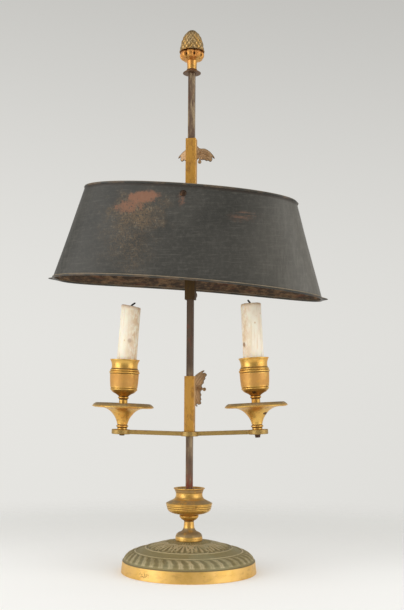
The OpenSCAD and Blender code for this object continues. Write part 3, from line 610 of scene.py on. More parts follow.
def japanned_sheet(colours):
    """Black paint, scratched lengthwise, with scuffs at its ends and a painted sheen at its right-hand end, and its tan
    ground bared on the front.
    """
    f = Finish("japanned_sheet")
    x, front = f.along("X"), f.front(-4, 4)
    clouds = f.patches(60, 0.35, 0.7, detail=4, roughness=0.55)
    mottle = f.noise(4, detail=5, roughness=0.7, shift=2)
    brushed = f.noise(2.4, detail=5, roughness=0.72, stretch=(0.1, 0.1, 1.3), shift=6)
    pale = clouds * 0.3 + mottle.between(0.45, 0.7) * 0.3 + brushed.between(0.5, 0.72) * 0.5
    scuffs = f.patches(5, 0.42, 0.68, detail=5, roughness=0.7, stretch=(1.6, 1, 0.2), shift=9)
    # Painted sheen at the right-hand end, with scuffs over it; the left end has scuffs only
    right_sheen = x.between(50 * MM, 150 * MM)
    left_end = 1 - x.between(-150 * MM, -100 * MM)
    scuffed = right_sheen * (0.6 + 0.3 * scuffs) + left_end * scuffs * 0.3
    specks = f.noise(1.8, detail=5, roughness=0.72, shift=4)
    halo = worn_place(f, (-50, 390), (46, 28), 1.0, 13, 3) * specks.between(0.38, 0.54)
    trail = worn_place(f, (-60, 366), (40, 52), 1.0, 18, 5) * specks.between(0.42, 0.6)
    thin = (halo * 0.8).most(trail * 0.5) * front
    solid = worn_place(f, (-43, 407), (20, 8), 0.4, 7, 1, 1.8)
    below = worn_place(f, (-60, 397), (19, 9), 0.6, 7, 2, 2.0) * specks.between(0.36, 0.5)
    graze = worn_place(f, (63, 383), (21, 7), 1.0, 4, 7) * brushed.between(0.44, 0.6)
    rivet = worn_place(f, (-2, 403), (5, 9), 0.6, 3, 8, 1.4) * specks.between(0.4, 0.56)
    bare = (solid * 0.85).most(below * 0.75).most(graze * 0.5).most(rivet * 0.45) * front
    # Painted shadow just under the top wire
    shadow = f.attribute("climb").between(0.955, 0.975)
    film = f.blend(colours.mottled, colours.edge_pale, mottle.between(0.54, 0.64) * 0.6)
    ground = f.coats(
        colours.primer,
        (colours.rust, specks.between(0.4, 0.62) * 0.25),
        (colours.japan, mottle.between(0.58, 0.68) * 0.7),
    )
    colour = f.coats(
        colours.japan,
        (colours.japan_pale, pale),
        (colours.scuffed, scuffed),
        (film, thin),
        (ground, bare),
        (colours.inside_dark, shadow * 0.7),
    )
    bare = bare.most(thin)
    crackle = f.noise(1.2, detail=4, roughness=0.7, shift=5)
    return f.surface(
        Base_Color=colour,
        Roughness=0.44 + 0.16 * mottle + 0.2 * bare - 0.06 * brushed,
        Normal=f.bump(crackle + brushed * 0.6 - bare * 0.6, 0.12 * MM),
        Specular_IOR_Level=0.4,
    )


def shade_lining(colours):
    """Brown, sooty inside of the shade, with rusty and straw-coloured streaks along it."""
    f = Finish("shade_lining")
    rusty = f.patches(7, 0.54, 0.68, detail=5, roughness=0.66, stretch=(0.22, 0.22, 1.8))
    soot = f.patches(4, 0.36, 0.58, detail=5, roughness=0.72, stretch=(0.4, 0.4, 1), shift=3)
    straw = f.patches(5, 0.6, 0.72, detail=5, roughness=0.7, stretch=(0.2, 0.2, 1.6), shift=7)
    grain = f.noise(1.2, detail=4, shift=5)
    colour = f.coats(
        colours.inside,
        (colours.inside_dark, soot * 0.85),
        (colours.rust, rusty * 0.4),
        (colours.edge_pale, straw * 0.5),
    )
    return f.surface(Base_Color=colour, Roughness=0.62 + 0.15 * grain, Normal=f.bump(grain, 0.12 * MM))


def wired_edge(colours, name, bare):
    """Painted wire, paler along its upper side where its paint is rubbed off and where a highlight is painted; bare is
    how much of it is paled.
    """
    f = Finish(name)
    broken = f.patches(9, 0.3, 0.6, detail=6, roughness=0.7, shift=4)
    # Paler upper side: paint rubbed off and a painted highlight along the wire
    rubbed = f.attribute("upper").between(0.0, 0.7) * (0.45 + 0.55 * broken) * bare
    brown = f.patches(14, 0.42, 0.62, detail=4, shift=2)
    specks = f.patches(2.4, 0.6, 0.68, detail=4, shift=8)
    return f.surface(
        Base_Color=f.coats(colours.japan, (colours.inside, brown * 0.35), (colours.edge_pale, rubbed)),
        Metallic=rubbed * 0.2,
        Roughness=0.42 + 0.15 * specks,
        Normal=f.bump(rubbed + specks, 0.12 * MM),
    )


def candle_wax(colours, name, tan_side, pit):
    """Cream wax with tan streaks, thicker on one side, a burnt rim and a brown pit (side, height, share)."""
    f = Finish(name)
    burnt, side = f.attribute("burnt"), f.attribute("side")
    clouds = f.patches(12, 0.5, 0.74, detail=5, roughness=0.62, stretch=(1, 1, 0.35))
    mottle = f.noise(5, detail=5, roughness=0.7, stretch=(1, 1, 0.5), shift=6)
    side_tan = (side * tan_side).between(-0.5, 0.9) * mottle.between(0.36, 0.6)
    aside = (side - pit[0]) / 0.22
    upward = (f.along("Z") - pit[1] * MM) / (3.2 * MM)
    hole = (1 - (aside * aside + upward * upward) ** 0.5 + (mottle - 0.5)).between(0, 0.6)
    streak = f.patches(4, 0.52, 0.7, detail=4, stretch=(1.6, 1.6, 0.12), shift=3) * 0.45
    spots = f.dots(9, 0.14, 0.05, (1, 1, 0.8))
    stain = (clouds * 0.35).most(burnt * 0.8).most(side_tan * 0.85).most(streak).most(spots * 0.8)
    brown = ((burnt - 0.35).between(0, 0.4) * mottle.between(0.3, 0.55) * 0.8).most(hole * pit[2])
    grain = f.noise(1.6, shift=5)
    return f.surface(
        Base_Color=f.coats(colours.wax, (colours.wax_stain, stain), (colours.wax_burnt, brown)),
        Roughness=0.4 + 0.14 * grain,
        Normal=f.bump(grain, 0.14 * MM),
        Subsurface_Weight=0.3,
        Subsurface_Radius=(0.9, 0.6, 0.35),
        Subsurface_Scale=2.5 * MM,
        IOR=1.44,
    )


def charred_wick(colours):
    """Burnt cotton."""
    f = Finish("wick")
    ash = f.patches(0.7, 0.5, 0.75)
    return f.surface(
        Base_Color=f.blend(colours.char, colours.film, ash * 0.2),
        Roughness=0.8 + 0.1 * ash,
        Normal=f.bump(f.noise(0.5, shift=3), 0.12 * MM),
    )


# ---------- meshes ----------


def show(name, data):
    """A new object in the scene."""
    made = bpy.data.objects.new(name, data)
    bpy.context.scene.collection.objects.link(made)
    return made


def add_piece(name, points, faces, body, materials, replaces=(), marks=None, sides=None, sharp=None):
    """Adds a smooth mesh piece that rides on a body. marks are numbers per point, sides a material per face."""
    mesh = bpy.data.meshes.new(name)
    mesh.from_pydata(np.asarray(points).tolist(), [], faces)
    mesh.validate()
    mesh.shade_smooth()
    if sharp is not None:
        mesh.set_sharp_from_angle(angle=sharp)
    for material in materials:
        mesh.materials.append(material)
    if sides is not None:
        mesh.polygons.foreach_set("material_index", sides)
    for mark, values in (marks or {}).items():
        layer = mesh.attributes.new(mark, "FLOAT", "POINT")
        layer.data.foreach_set("value", np.asarray(values, np.float32).ravel())
    piece = show(name, mesh)
    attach(piece, body)
    if replaces:
        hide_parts(*replaces)


def paint_node(node, material):
    """Gives a CAD node its material."""
    slots = frame["nodes"][node].data.materials
    slots.clear()
    slots.append(material)


def moved(points, place):
    """Points taken through a 4x4 matrix."""
    matrix = np.array(place)
    return np.asarray(points) @ matrix[:3, :3].T + matrix[:3, 3]


def node_points(node, place=Matrix.Identity(4)):
    """A CAD node's points, in the frame that place puts in the model."""
    points = np.array([vertex.co for vertex in frame["nodes"][node].data.vertices])
    return moved(points, place.inverted())


def standing_on(node, axis=UP):
    """The frame of a turned node: Z along axis, origin in the middle of its lowest slice."""
    turn = Vector(UP).rotation_difference(Vector(axis)).to_matrix().to_4x4()
    points = node_points(node, turn)
    low = points[points[:, 2] < points[:, 2].min() + 0.05 * MM]
    middle = (low.min(0) + low.max(0)) / 2
    return turn @ Matrix.Translation((middle[0], middle[1], low[:, 2].min()))


def smooth(x, low, high):
    """0 below low, 1 above high, smooth between."""
    t = np.clip((x - low) / (high - low), 0, 1)
    return t * t * (3 - 2 * t)


def ring_angles(count):
    """Angles of count points evenly round a ring."""
    return np.arange(count) * TAU / count


def unit(vectors):
    """Vectors made 1 long."""
    return vectors / np.linalg.norm(vectors, axis=-1, keepdims=True)


def walked(points):
    """Distance walked to each point of an open line."""
    return np.concatenate([[0], np.cumsum(np.linalg.norm(np.diff(points, axis=0), axis=1))])


def along_loop(points, axis=0):
    """From the point before to the point after, at each point of a closed line."""
    return np.roll(points, -1, axis) - np.roll(points, 1, axis)


def cut_outline(node, place):
    """Half outline of a turned CAD node: ordered (radius, height) points, anticlockwise, and whether it closes."""
    bm = bmesh.new()
    bm.from_mesh(frame["nodes"][node].data)
    bm.transform(place.inverted())
    bmesh.ops.remove_doubles(bm, verts=bm.verts, dist=0.001 * MM)
    every = bm.verts[:] + bm.edges[:] + bm.faces[:]
    cut = bmesh.ops.bisect_plane(bm, geom=every, dist=0.0005 * MM, plane_co=(0, 0, 0), plane_no=(0, 1, 0))
    near = 0.002 * MM
    links = {}
    for edge in cut["geom_cut"]:
        if isinstance(edge, bmesh.types.BMEdge) and all(v.co.x > -near for v in edge.verts):
            a, b = [(round(v.co.x / near), round(v.co.z / near)) for v in edge.verts]
            if a != b:
                links.setdefault(a, set()).add(b)
                links.setdefault(b, set()).add(a)
    bm.free()
    loose = [spot for spot, others in links.items() if len(others) == 1]
    walk, before = [loose[0] if loose else max(links)], None
    while True:
        onward = [spot for spot in links[walk[-1]] if spot != before and spot not in walk]
        if not onward:
            break
        before = walk[-1]
        walk.append(onward[0])
    points = np.array(walk, float) * near
    after = np.roll(points, -1, 0)
    if (points[:, 0] * after[:, 1] - after[:, 0] * points[:, 1]).sum() < 0:
        points = points[::-1]
    return points, not loose


def bends(points, closed):
    """Signed turn of an outline at each of its points, in radians, 0 at open ends."""
    before = points - np.roll(points, 1, 0)
    after = np.roll(points, -1, 0) - points
    cross = before[:, 0] * after[:, 1] - before[:, 1] * after[:, 0]
    turn = np.arctan2(cross, (before * after).sum(1))
    if not closed:
        turn[[0, -1]] = 0
    return turn


def smooth_run(points, step):
    """A smooth curve through points, with about step between its own points, both ends kept."""
    spans = np.linalg.norm(np.diff(points, axis=0), axis=1)
    chords = np.diff(points, axis=0) / spans[:, None]
    if len(points) == 2:
        slopes = np.repeat(chords, 2, 0)
    else:
        share = (spans[:-1] / (spans[:-1] + spans[1:]))[:, None]
        inner = chords[:-1] * (1 - share) + chords[1:] * share
        slopes = np.concatenate([[1.5 * chords[0] - 0.5 * inner[0]], inner, [1.5 * chords[-1] - 0.5 * inner[-1]]])
    made = []
    for k, span in enumerate(spans):
        count = max(1, math.ceil(span / step))
        t = np.arange(count)[:, None] / count
        made.append(
            (2 * t**3 - 3 * t**2 + 1) * points[k]
            + (t**3 - 2 * t**2 + t) * slopes[k] * span
            + (3 * t**2 - 2 * t**3) * points[k + 1]
            + (t**3 - t**2) * slopes[k + 1] * span
        )
    return np.concatenate([*made, points[-1:]])


# Closer points are one, a smaller turn in radians is no bend, and a larger one is a corner
SAME_SPOT = 0.01 * MM
STRAIGHT = 0.004
CORNER = math.radians(29)
SMALL_SEGMENTS = 32


def fair_outline(points, closed, step, fillet=0.35 * MM):
    """An outline with smooth curves through its soft points and small fillets at its corners."""
    points = points[np.linalg.norm(points - np.roll(points, 1, 0), axis=1) > SAME_SPOT]
    turn = bends(points, closed)
    points = points[(abs(turn) > STRAIGHT) | (turn == 0)]
    corners = np.flatnonzero(abs(bends(points, closed)) > CORNER)
    if closed:
        points = np.roll(points, -corners[0], 0)
        corners = np.append(corners - corners[0], len(points))
        points = np.concatenate([points, points[:1]])
    else:
        corners = np.concatenate([[0], corners, [len(points) - 1]])
    last = len(corners) - 2
    runs = []
    for k in range(last + 1):
        span = points[corners[k] : corners[k + 1] + 1]
        run = smooth_run(span, step)
        cut = min(fillet, 0.4 * walked(span)[-1])
        travelled = walked(run)
        low = cut if closed or k > 0 else 0
        high = travelled[-1] - (cut if closed or k < last else 0)
        within = run[(travelled > low + 1e-9) & (travelled < high - 1e-9)]
        ends = [[np.interp(s, travelled, run[:, 0]), np.interp(s, travelled, run[:, 1])] for s in (low, high)]
        runs.append(np.concatenate([ends[:1], within, ends[1:]]))
    whole = []
    t = np.array([0.25, 0.5, 0.75])[:, None]
    for k, run in enumerate(runs):
        whole.append(run)
        if closed or k < last:
            tip, onward = points[corners[k + 1]], runs[(k + 1) % len(runs)][0]
            whole.append((1 - t) ** 2 * run[-1] + 2 * t * (1 - t) * tip + t**2 * onward)
    return np.concatenate(whole)


def outline_normals(points, closed):
    """Outward unit normals of an anticlockwise outline."""
    run = along_loop(points) if closed else np.gradient(points, axis=0)
    return unit(np.stack([run[:, 1], -run[:, 0]], 1))


def hollowness(points, closed):
    """How deep each outline point lies below its neighbourhood, 0 to 1."""
    window, depth = 1.5 * MM, 0.3 * MM
    hops = np.linalg.norm(np.diff(points, axis=0, append=points[:1]), axis=1)
    spot = np.concatenate([[0], np.cumsum(hops)[:-1]])
    apart = abs(spot[:, None] - spot[None, :])
    if closed:
        apart = np.minimum(apart, hops.sum() - apart)
    weight = np.exp(-((apart / window) ** 2)) * hops[None, :].clip(0, window)
    mean = weight @ points / weight.sum(1)[:, None]
    return (((mean - points) * outline_normals(points, closed)).sum(1) / depth).clip(0, 1)


def ring_faces(counts, closed):
    """Faces between rings of the given sizes. A ring of one is a pole; else a finer ring is a multiple."""
    starts = np.concatenate([[0], np.cumsum(counts)]).tolist()
    faces = []
    for a in range(len(counts) if closed else len(counts) - 1):
        b = (a + 1) % len(counts)
        if counts[a] == counts[b]:
            i = np.arange(counts[a])
            j = (i + 1) % counts[a]
            faces += np.stack([starts[a] + i, starts[a] + j, starts[b] + j, starts[b] + i], 1).tolist()
            continue
        coarse, fine = (a, b) if counts[a] < counts[b] else (b, a)
        few, many = counts[coarse], counts[fine]
        step = many // few
        for i in range(few):
            if few == 1:
                pairs = [[starts[fine] + (k + 1) % many, starts[fine] + k] for k in range(many)]
                faces += [[*(pair if coarse == a else pair[::-1]), starts[coarse]] for pair in pairs]
                continue
            low = [starts[coarse] + i, starts[coarse] + (i + 1) % few]
            high = [starts[fine] + (i * step + k) % many for k in range(step + 1)]
            faces.append(low + high[::-1] if coarse == a else high + low[::-1])
    return faces


def pole_counts(outline, closed, segments):
    """Points in each ring, one where the outline meets its axis."""
    counts = [segments] * len(outline)
    if not closed:
        counts[0] = counts[-1] = 1
    return counts


def spin(outline, closed, counts, lift=None):
    """Turns an outline about Z. counts are the points in all or in each ring, lift(angle, k) moves ring k out."""
    if isinstance(counts, int):
        counts = pole_counts(outline, closed, counts)
    outward = outline_normals(outline, closed)
    rings = []
    for k, (radius, height) in enumerate(outline):
        angle = ring_angles(counts[k])
        up = (lift(angle, k) if lift else 0) * np.ones(counts[k])
        r = radius + outward[k, 0] * up if counts[k] > 1 else np.zeros(1)
        rings.append(np.stack([r * np.cos(angle), r * np.sin(angle), height + outward[k, 1] * up], 1))
    return np.concatenate(rings), ring_faces(counts, closed)


def film_between(outline, *bands):
    """How filmed over an outline's points are. A band is a low height, a high height and a share."""
    soft, height = 0.6 * MM, outline[:, 1]
    film = np.zeros(len(outline))
    for low, high, share in bands:
        within = smooth(height, low - soft, low + soft) * (1 - smooth(height, high - soft, high + soft))
        film = np.maximum(film, within * share)
    return film


def film_on_top(outline):
    """A film over the parts of a closed outline that face up."""
    return smooth(outline_normals(outline, True)[:, 1], 0.35, 0.8)


def turned_piece(
    name, node, body, material, axis=UP, segments=128, step=0.8 * MM, film=None, lift=None, deep=None
):
    """A turned piece that stands for a CAD node, from that node's own outline.

    film(outline) gives its film. lift(outline) gives spin's lift, and a dent as deep as deep is fully hollow.
    """
    place = standing_on(node, axis)
    raw, closed = cut_outline(node, place)
    outline = fair_outline(raw, closed, step)
    counts = pole_counts(outline, closed, segments)
    # How hollow each point is, which the gilt finish paints with tarnish and painted shade
    if lift:
        lift = lift(outline)
        rings = [np.clip(-lift(ring_angles(n), k) / deep, 0, 1) * np.ones(n) for k, n in enumerate(counts)]
        marks = {"hollow": np.concatenate(rings)}
    else:
        marks = {"hollow": np.repeat(hollowness(outline, closed), counts)}
    if film:
        marks["film"] = np.repeat(film(outline), counts)
    points, faces = spin(outline, closed, counts, lift)
    add_piece(name, moved(points, place), faces, body, [material], [node], marks)


# ---------- base ----------

BAND_TOP = 13 * MM
DOME_INSIDE = 15.5 * MM
DOME_STEP, DOME_POINTS = 0.46 * MM, 640
PLAIN_STEP, PLAIN_POINTS = 1.6 * MM, 160


def ridge(distance, width):
    """A rounded ridge: 1 where distance is 0, 0 where it is width or more."""
    return np.sqrt(np.clip(1 - (distance / width) ** 2, 0, 1))


def edge_fade(v):
    """Fades a pattern out at both edges of its band."""
    return smooth(v, 0, 0.04) * (1 - smooth(v, 0.96, 1))


def leaf_frieze(angle, v, ornament):
    """Height, 0 to 1, of the running leaves; v is 0 at the frieze's outer edge and 1 at its inner one."""
    u = (angle / TAU * ornament.leaves + ornament.leaf_slant * v) % 1 - 0.5
    middle = 0.2 * math.sin(math.pi * v) - 0.1
    half = 0.44 * (1 - 0.45 * v) * (1 + 0.14 * math.cos(3 * TAU * v))
    off = u - middle
    leaf = np.clip(1 - (off / half) ** 2, 0, 1)
    vein = 0.3 * np.exp(-((off / 0.05) ** 2))
    ribs = 0.12 * np.cos((abs(off) * 9 - v * 3.2) * TAU)
    from_curl = np.hypot(off - 0.24, (v - 0.8) * 1.4)
    curl = ridge(from_curl, 0.17) - 1.1 * ridge(from_curl, 0.07)
    foot = 0.55 * (1 - smooth(v, 0.05, 0.22))
    shape = np.maximum(leaf - vein + ribs * leaf, curl)
    return np.clip(np.maximum(shape, foot), 0, 1) * edge_fade(v)


def fan_petal(x, y, direction, length, width):
    """A petal that leaves the origin at an angle from +Y and widens to a round end, 0 to 1 high."""
    forward = x * math.sin(direction) + y * math.cos(direction)
    aside = x * math.cos(direction) - y * math.sin(direction)
    half = width * (0.3 + 0.7 * np.clip(forward / length, 0, 1))
    past = np.clip(forward - (length - width), 0, None)
    return np.where(forward > 0, ridge(np.hypot(aside, past), half), 0)


def palmette_ring(angle, radius, ornament):
    """Height, 0 to 1, of the fans round the stem. Its bare sizes are in millimetres."""
    sector = TAU / ornament.palmettes
    r = radius / MM
    off = (angle + sector / 2) % sector - sector / 2
    x, y = r * np.sin(off), r * np.cos(off)
    height = np.zeros_like(angle)
    for k, length in zip(range(-3, 4), (10.0, 15.5, 19.0, 20.5, 19.0, 15.5, 10.0)):
        height = np.maximum(height, fan_petal(x, y - 24, math.radians(21 * k), length, 2.1))
    frame_rib = ridge(np.hypot(x / 9.4, (y - 34.5) / 12.0) - 1, 0.09) * 0.75
    height = np.maximum(height, frame_rib * (y > 24))
    off = angle % sector - sector / 2
    x, y = r * np.sin(off), r * np.cos(off)
    for k in (-1, 0, 1):
        height = np.maximum(height, fan_petal(x, y - 29, math.radians(24 * k), 15.5 - 3 * abs(k), 1.5))
    flutes = 0.5 + 0.5 * np.cos(angle * 4 * ornament.palmettes)
    inner = 1 - smooth(r, 22.5, 26)
    return np.maximum(height * smooth(r, 22, 25), flutes * inner * 0.8)


def dome_relief(radius, ornament):
    """Ornament of the dome's ring of this radius: how high each point counts for the patina, and its lift."""
    angle = ring_angles(DOME_POINTS)
    outside, inside = ornament.frieze_outside, ornament.frieze_inside
    relief, up = np.full(DOME_POINTS, 0.5), np.zeros(DOME_POINTS)
    if inside < radius < outside:
        v = (outside - radius) / (outside - inside)
        relief = leaf_frieze(angle, v, ornament)
        up = (relief - 0.55) * ornament.leaf_depth * edge_fade(v)
    elif ornament.palmette_inside < radius < ornament.palmette_outside:
        v = (radius - ornament.palmette_inside) / (ornament.palmette_outside - ornament.palmette_inside)
        relief = palmette_ring(angle, radius, ornament)
        up = (relief - 0.45) * ornament.palmette_depth * edge_fade(v)
    if min(abs(radius - bead) for bead in (ornament.outer_bead, ornament.inner_bead)) < 0.8 * MM:
        relief = np.full(DOME_POINTS, 1.1)
    return relief, up


def on_dome(outline, above):
    """Whether each point of the base's outline is on the top of the dome."""
    faces_up = outline_normals(outline, True)[:, 1] > 0.05
    return faces_up & (outline[:, 1] > above) & (outline[:, 0] > DOME_INSIDE)


def build_base(scene):
    """The base casting, with fine rings on its dome and coarse ones elsewhere; washer and nut stay."""
    ornament, colours = scene.lamp_base, scene.lamp_colours
    node = "base_casting"
    place = standing_on(node)
    raw, closed = cut_outline(node, place)
    fine = fair_outline(raw, closed, DOME_STEP)
    dome = on_dome(fine, BAND_TOP + 0.2 * MM)
    fine = np.roll(fine, -np.flatnonzero(dome)[0], 0)[: dome.sum()]
    rest = fair_outline(raw, closed, PLAIN_STEP)
    rest = rest[~on_dome(rest, BAND_TOP)]
    rest = np.roll(rest, -np.argmin(np.linalg.norm(rest - fine[-1], axis=1)), 0)
    made = [dome_relief(radius, ornament) for radius in fine[:, 0]]
    made += [(np.full(PLAIN_POINTS, 0.5), 0)] * len(rest)
    relief, lift = zip(*made)
    counts = [DOME_POINTS] * len(fine) + [PLAIN_POINTS] * len(rest)
    points, faces = spin(np.concatenate([fine, rest]), closed, counts, lambda angle, k: lift[k])
    add_piece(
        "base_casting_chased", moved(points, place), faces, "root",
        [patinated_bronze(colours, BAND_TOP)], [node], {"relief": np.concatenate(relief)},
    )
    iron = dark_iron(colours, "under_iron")
    for hidden in ("base_washer", "base_nut"):
        paint_node(hidden, iron)


class LAMP_OT_base(bpy.types.Operator):
    """Make the domed base with its leaf frieze and palmettes"""

    bl_idname = "lamp.base"
    bl_label = "Base"

    def execute(self, context):
        build_base(context.scene)
        return {"FINISHED"}


# ---------- stem and rod ----------

# Outline of the vase above its foot, from its underside over two bands, a sharp edge, a hollow waist and a
# flaring rim to the rod's pocket, as (radius, height) in millimetres
VASE_OUTLINE = (
    (3.2, 0.0), (13.6, 0.0), (16.6, 0.6), (19.8, 1.6), (22.4, 3.1), (24.0, 5.2), (24.5, 6.5), (24.0, 6.9),
    (24.7, 7.3), (25.1, 8.6), (24.6, 9.1), (25.2, 9.6), (25.5, 10.7), (25.1, 11.0), (25.6, 11.4),
    (25.75, 11.9), (25.4, 12.3), (24.9, 12.5), (22.2, 13.9), (19.1, 15.4), (16.8, 16.8), (15.5, 18.3),
    (14.9, 20.4), (14.8, 22.6), (15.0, 24.4), (15.4, 24.6), (15.9, 26.3), (16.6, 27.5), (17.3, 27.9),
    (17.4, 28.4), (17.0, 28.95), (14.9, 28.95), (14.4, 28.3), (12.4, 27.1), (9.6, 26.5), (3.2, 26.4),
)
VASE_SEGMENTS, VASE_STEP, VASE_FILLET = 144, 0.6 * MM, 0.25 * MM
# Where the stem is filmed over: low height, high height and share
FOOT_FILM = (5 * MM, 14 * MM, 1.0)
VASE_FILMS = ((12.4 * MM, 16 * MM, 0.9), (24.4 * MM, 28 * MM, 0.7))


def build_stem(scene):
    """The turned foot and vase, and the square rod that stands in them."""
    colours = scene.lamp_colours
    stem = gilt_brass(colours, "stem_gilt", colours.gilt, colours.gilt_rubbed, 0.3)
    turned_piece(
        "bell_foot", "stem_foot", "root", stem, film=lambda outline: film_between(outline, FOOT_FILM)
    )
    low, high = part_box("stem_vase")
    outline = fair_outline(np.array(VASE_OUTLINE) * MM, True, VASE_STEP, VASE_FILLET)
    points, faces = spin(outline, True, VASE_SEGMENTS)
    marks = {"hollow": hollowness(outline, True), "film": film_between(outline, *VASE_FILMS)}
    marks = {mark: np.repeat(values, VASE_SEGMENTS) for mark, values in marks.items()}
    add_piece("vase", points + (0, 0, low.z), faces, "root", [stem], ["stem_vase"], marks)
    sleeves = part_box("arm_sleeve")[1].z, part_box("shade_sleeve")[1].z
    paint_node("rod", dark_iron(colours, "rod_iron", high.z, *sleeves))


class LAMP_OT_stem(bpy.types.Operator):
    """Make the turned foot and vase, and finish the rod"""

    bl_idname = "lamp.stem"
    bl_label = "Stem and rod"

    def execute(self, context):
        build_stem(context.scene)
        return {"FINISHED"}


# ---------- finial ----------

PETAL_SEGMENTS, PETAL_STEP = 320, 0.25 * MM
CUP_NECK, NECK_RADIUS = 0.5, 5.6 * MM
CONE_ROWS, CONE_SEGMENTS = 150, 384
SKIRT_SEGMENTS, SKIRT_STEP = 96, 0.5 * MM


def scale_height(angle, climb, shape):
    """Height, 0 to 1, of the cone's scales at a share climb of its height."""
    row = climb * shape.rows
    best = np.zeros_like(angle)
    for k in (math.floor(row), math.floor(row) + 1):
        across = (angle / TAU * shape.scales - 0.5 * (k % 2) + 0.5) % 1 * 2 - 1
        upward = row - k
        knob = 1 - abs(across) ** 1.5 - abs(upward) ** 1.5
        lean = 0.8 + 0.4 * upward
        best = np.maximum(best, np.clip(knob, 0, 1) ** 0.55 * lean)
    return np.clip(best, 0, 1)


def build_petals(shape, gilt):
    """The neck and the cup of petals, parted by grooves and by holes half way up."""
    low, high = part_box("finial_leaf_cup")

    def petal_lift(outline):
        def lift(angle, k):
            radius, height = outline[k]
            share = (height / (high.z - low.z) - CUP_NECK) / (1 - CUP_NECK)
            if radius < NECK_RADIUS or share < 0:
                return 0
            u = (angle / TAU * shape.petals + 0.5) % 1 - 0.5
            groove = 1 - np.sqrt(np.clip(1 - (2 * abs(u)) ** 2.4, 0, 1))
            drop = (abs(u) - 0.5) / 0.13
            hole = np.exp(-(drop**2)) * math.exp(-(((share - 0.5) / 0.2) ** 2))
            return -groove * shape.petal_depth * min(1, 4 * share) - hole * shape.notch_depth

        return lift

    turned_piece(
        "petal_cup", "finial_leaf_cup", "root", gilt,
        segments=PETAL_SEGMENTS, step=PETAL_STEP, lift=petal_lift, deep=3.4 * MM,
    )


def build_cone(shape, gilt):
    """The pine cone, a blunt form covered with staggered scales."""
    low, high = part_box("finial_pinecone")
    tall, wide = high.z - low.z, (high.x - low.x) / 2
    t = np.linspace(0, 1, CONE_ROWS)
    radius = wide * np.sqrt(np.clip(1 - (0.25 + 0.75 * t) ** 2.6, 0, 1) / (1 - 0.25**2.6))
    outline = np.stack([radius, t * tall], 1)
    outline = np.concatenate([[[0, 0], [wide - 2.2 * MM, 0]], outline[1:-1], [[0, tall]]])
    climb = np.concatenate([[0, 0], t[1:-1], [1]])
    counts = pole_counts(outline, False, CONE_SEGMENTS)
    scales = [scale_height(ring_angles(n), climb[k], shape) for k, n in enumerate(counts)]

    def lift(angle, k):
        if k < 2 or k == len(outline) - 1:
            return -shape.scale_depth * 0.2
        calm = min(1, (1 - climb[k]) / 0.08)
        return (scales[k] - 1) * shape.scale_depth * calm

    points, faces = spin(outline, False, counts, lift)
    # How hollow each point is; the cone's finish paints it as painted shade between the scales
    hollow = [(1 - ring) * (0.9 if k > 4 else 0.35) for k, ring in enumerate(scales)]
    add_piece(
        "pine_cone", points + (0, 0, low.z), faces, "root", [gilt], ["finial_pinecone"],
        {"hollow": np.concatenate(hollow)},
    )


def build_finial(scene):
    """The flange, the cup of petals and the pine cone."""
    colours, shape = scene.lamp_colours, scene.lamp_finial
    gilt = gilt_brass(colours, "finial_gilt", colours.gilt_rubbed, colours.cup_rubbed, 0.32)
    brown = brown_brass(colours, "flange_brown", colours.flange, 0.5)
    turned_piece(
        "finial_skirt", "finial_flange", "root", brown, segments=SKIRT_SEGMENTS, step=SKIRT_STEP
    )
    build_petals(shape, gilt)
    build_cone(shape, cone_gilt(colours))


class LAMP_OT_finial(bpy.types.Operator):
    """Make the flange, the petal cup and the pine cone"""

    bl_idname = "lamp.finial"
    bl_label = "Finial"

    def execute(self, context):
        build_finial(context.scene)
        return {"FINISHED"}


# ---------- sleeves ----------

# Half outline of the sleeve's pin, as (radius, height) in millimetres
PIN_OUTLINE = ((0, -0.4), (1.1, -0.4), (1.1, 0.1), (0.9, 0.6), (0.5, 0.9), (0, 1.0))
PIN_BELOW_TOP = 9 * MM
# The upper sleeve's painted shadow reaches up to this far below the rivets
DARK_BELOW_RIVETS = 40 * MM


def build_sleeves(scene):
    """Finishes of the two sleeves and the bridge, and the small pin in the upper sleeve's side."""
    colours = scene.lamp_colours
    low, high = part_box("shade_sleeve")
    brown = brown_brass(colours, "rivet_brown", colours.brown_dark, 0.4)
    brass = sleeve_brass(colours, low.z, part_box("shade_rivets")[0].z - DARK_BELOW_RIVETS)
    paint_node("shade_sleeve", brass)
    paint_node("arm_sleeve", brass)
    paint_node("shade_bridge", dark_iron(colours, "bridge_iron"))
    paint_node("shade_rivets", brown)
    outline = fair_outline(np.array(PIN_OUTLINE) * MM, False, 0.15 * MM, fillet=0.1 * MM)
    points, faces = spin(outline, False, SMALL_SEGMENTS)
    place = Matrix.Translation((low.x, 0, high.z - PIN_BELOW_TOP)) @ Matrix.Rotation(-math.pi / 2, 4, "Y")
    add_piece("sleeve_pin", moved(points, place), faces, "shade_carrier", [brown])


class LAMP_OT_sleeves(bpy.types.Operator):
    """Finish the two sleeves, the bridge and the rivets, and make the sleeve's pin"""

    bl_idname = "lamp.sleeves"
    bl_label = "Sleeves"

    def execute(self, context):
        build_sleeves(context.scene)
        return {"FINISHED"}


# ---------- screws ----------

# Right half of a butterfly, from its crest out along a drooping feather, back along a notched lobe and down
# to the knob's stem, as shares of its half span and heights in millimetres
WING_OUTLINE = (
    (0.05, 6.6), (0.14, 4.8), (0.26, 4.1), (0.42, 4.2), (0.58, 3.0), (0.74, 0.8), (0.87, -2.0),
    (0.97, -4.6), (1.0, -6.6), (0.94, -6.6), (0.86, -5.2), (0.88, -7.8), (0.82, -10.2), (0.74, -10.4),
    (0.65, -9.4), (0.57, -10.0), (0.44, -8.8), (0.32, -9.2), (0.23, -7.9), (0.13, -7.6), (0.075, -8.6),
)
# The veins of its right wing, from end to end, as X and Z in millimetres
VEINS = (((3, 2.4), (18.6, -3.4)), ((4, -0.6), (17.4, -7)), ((4, -3.4), (14, -8.2)))
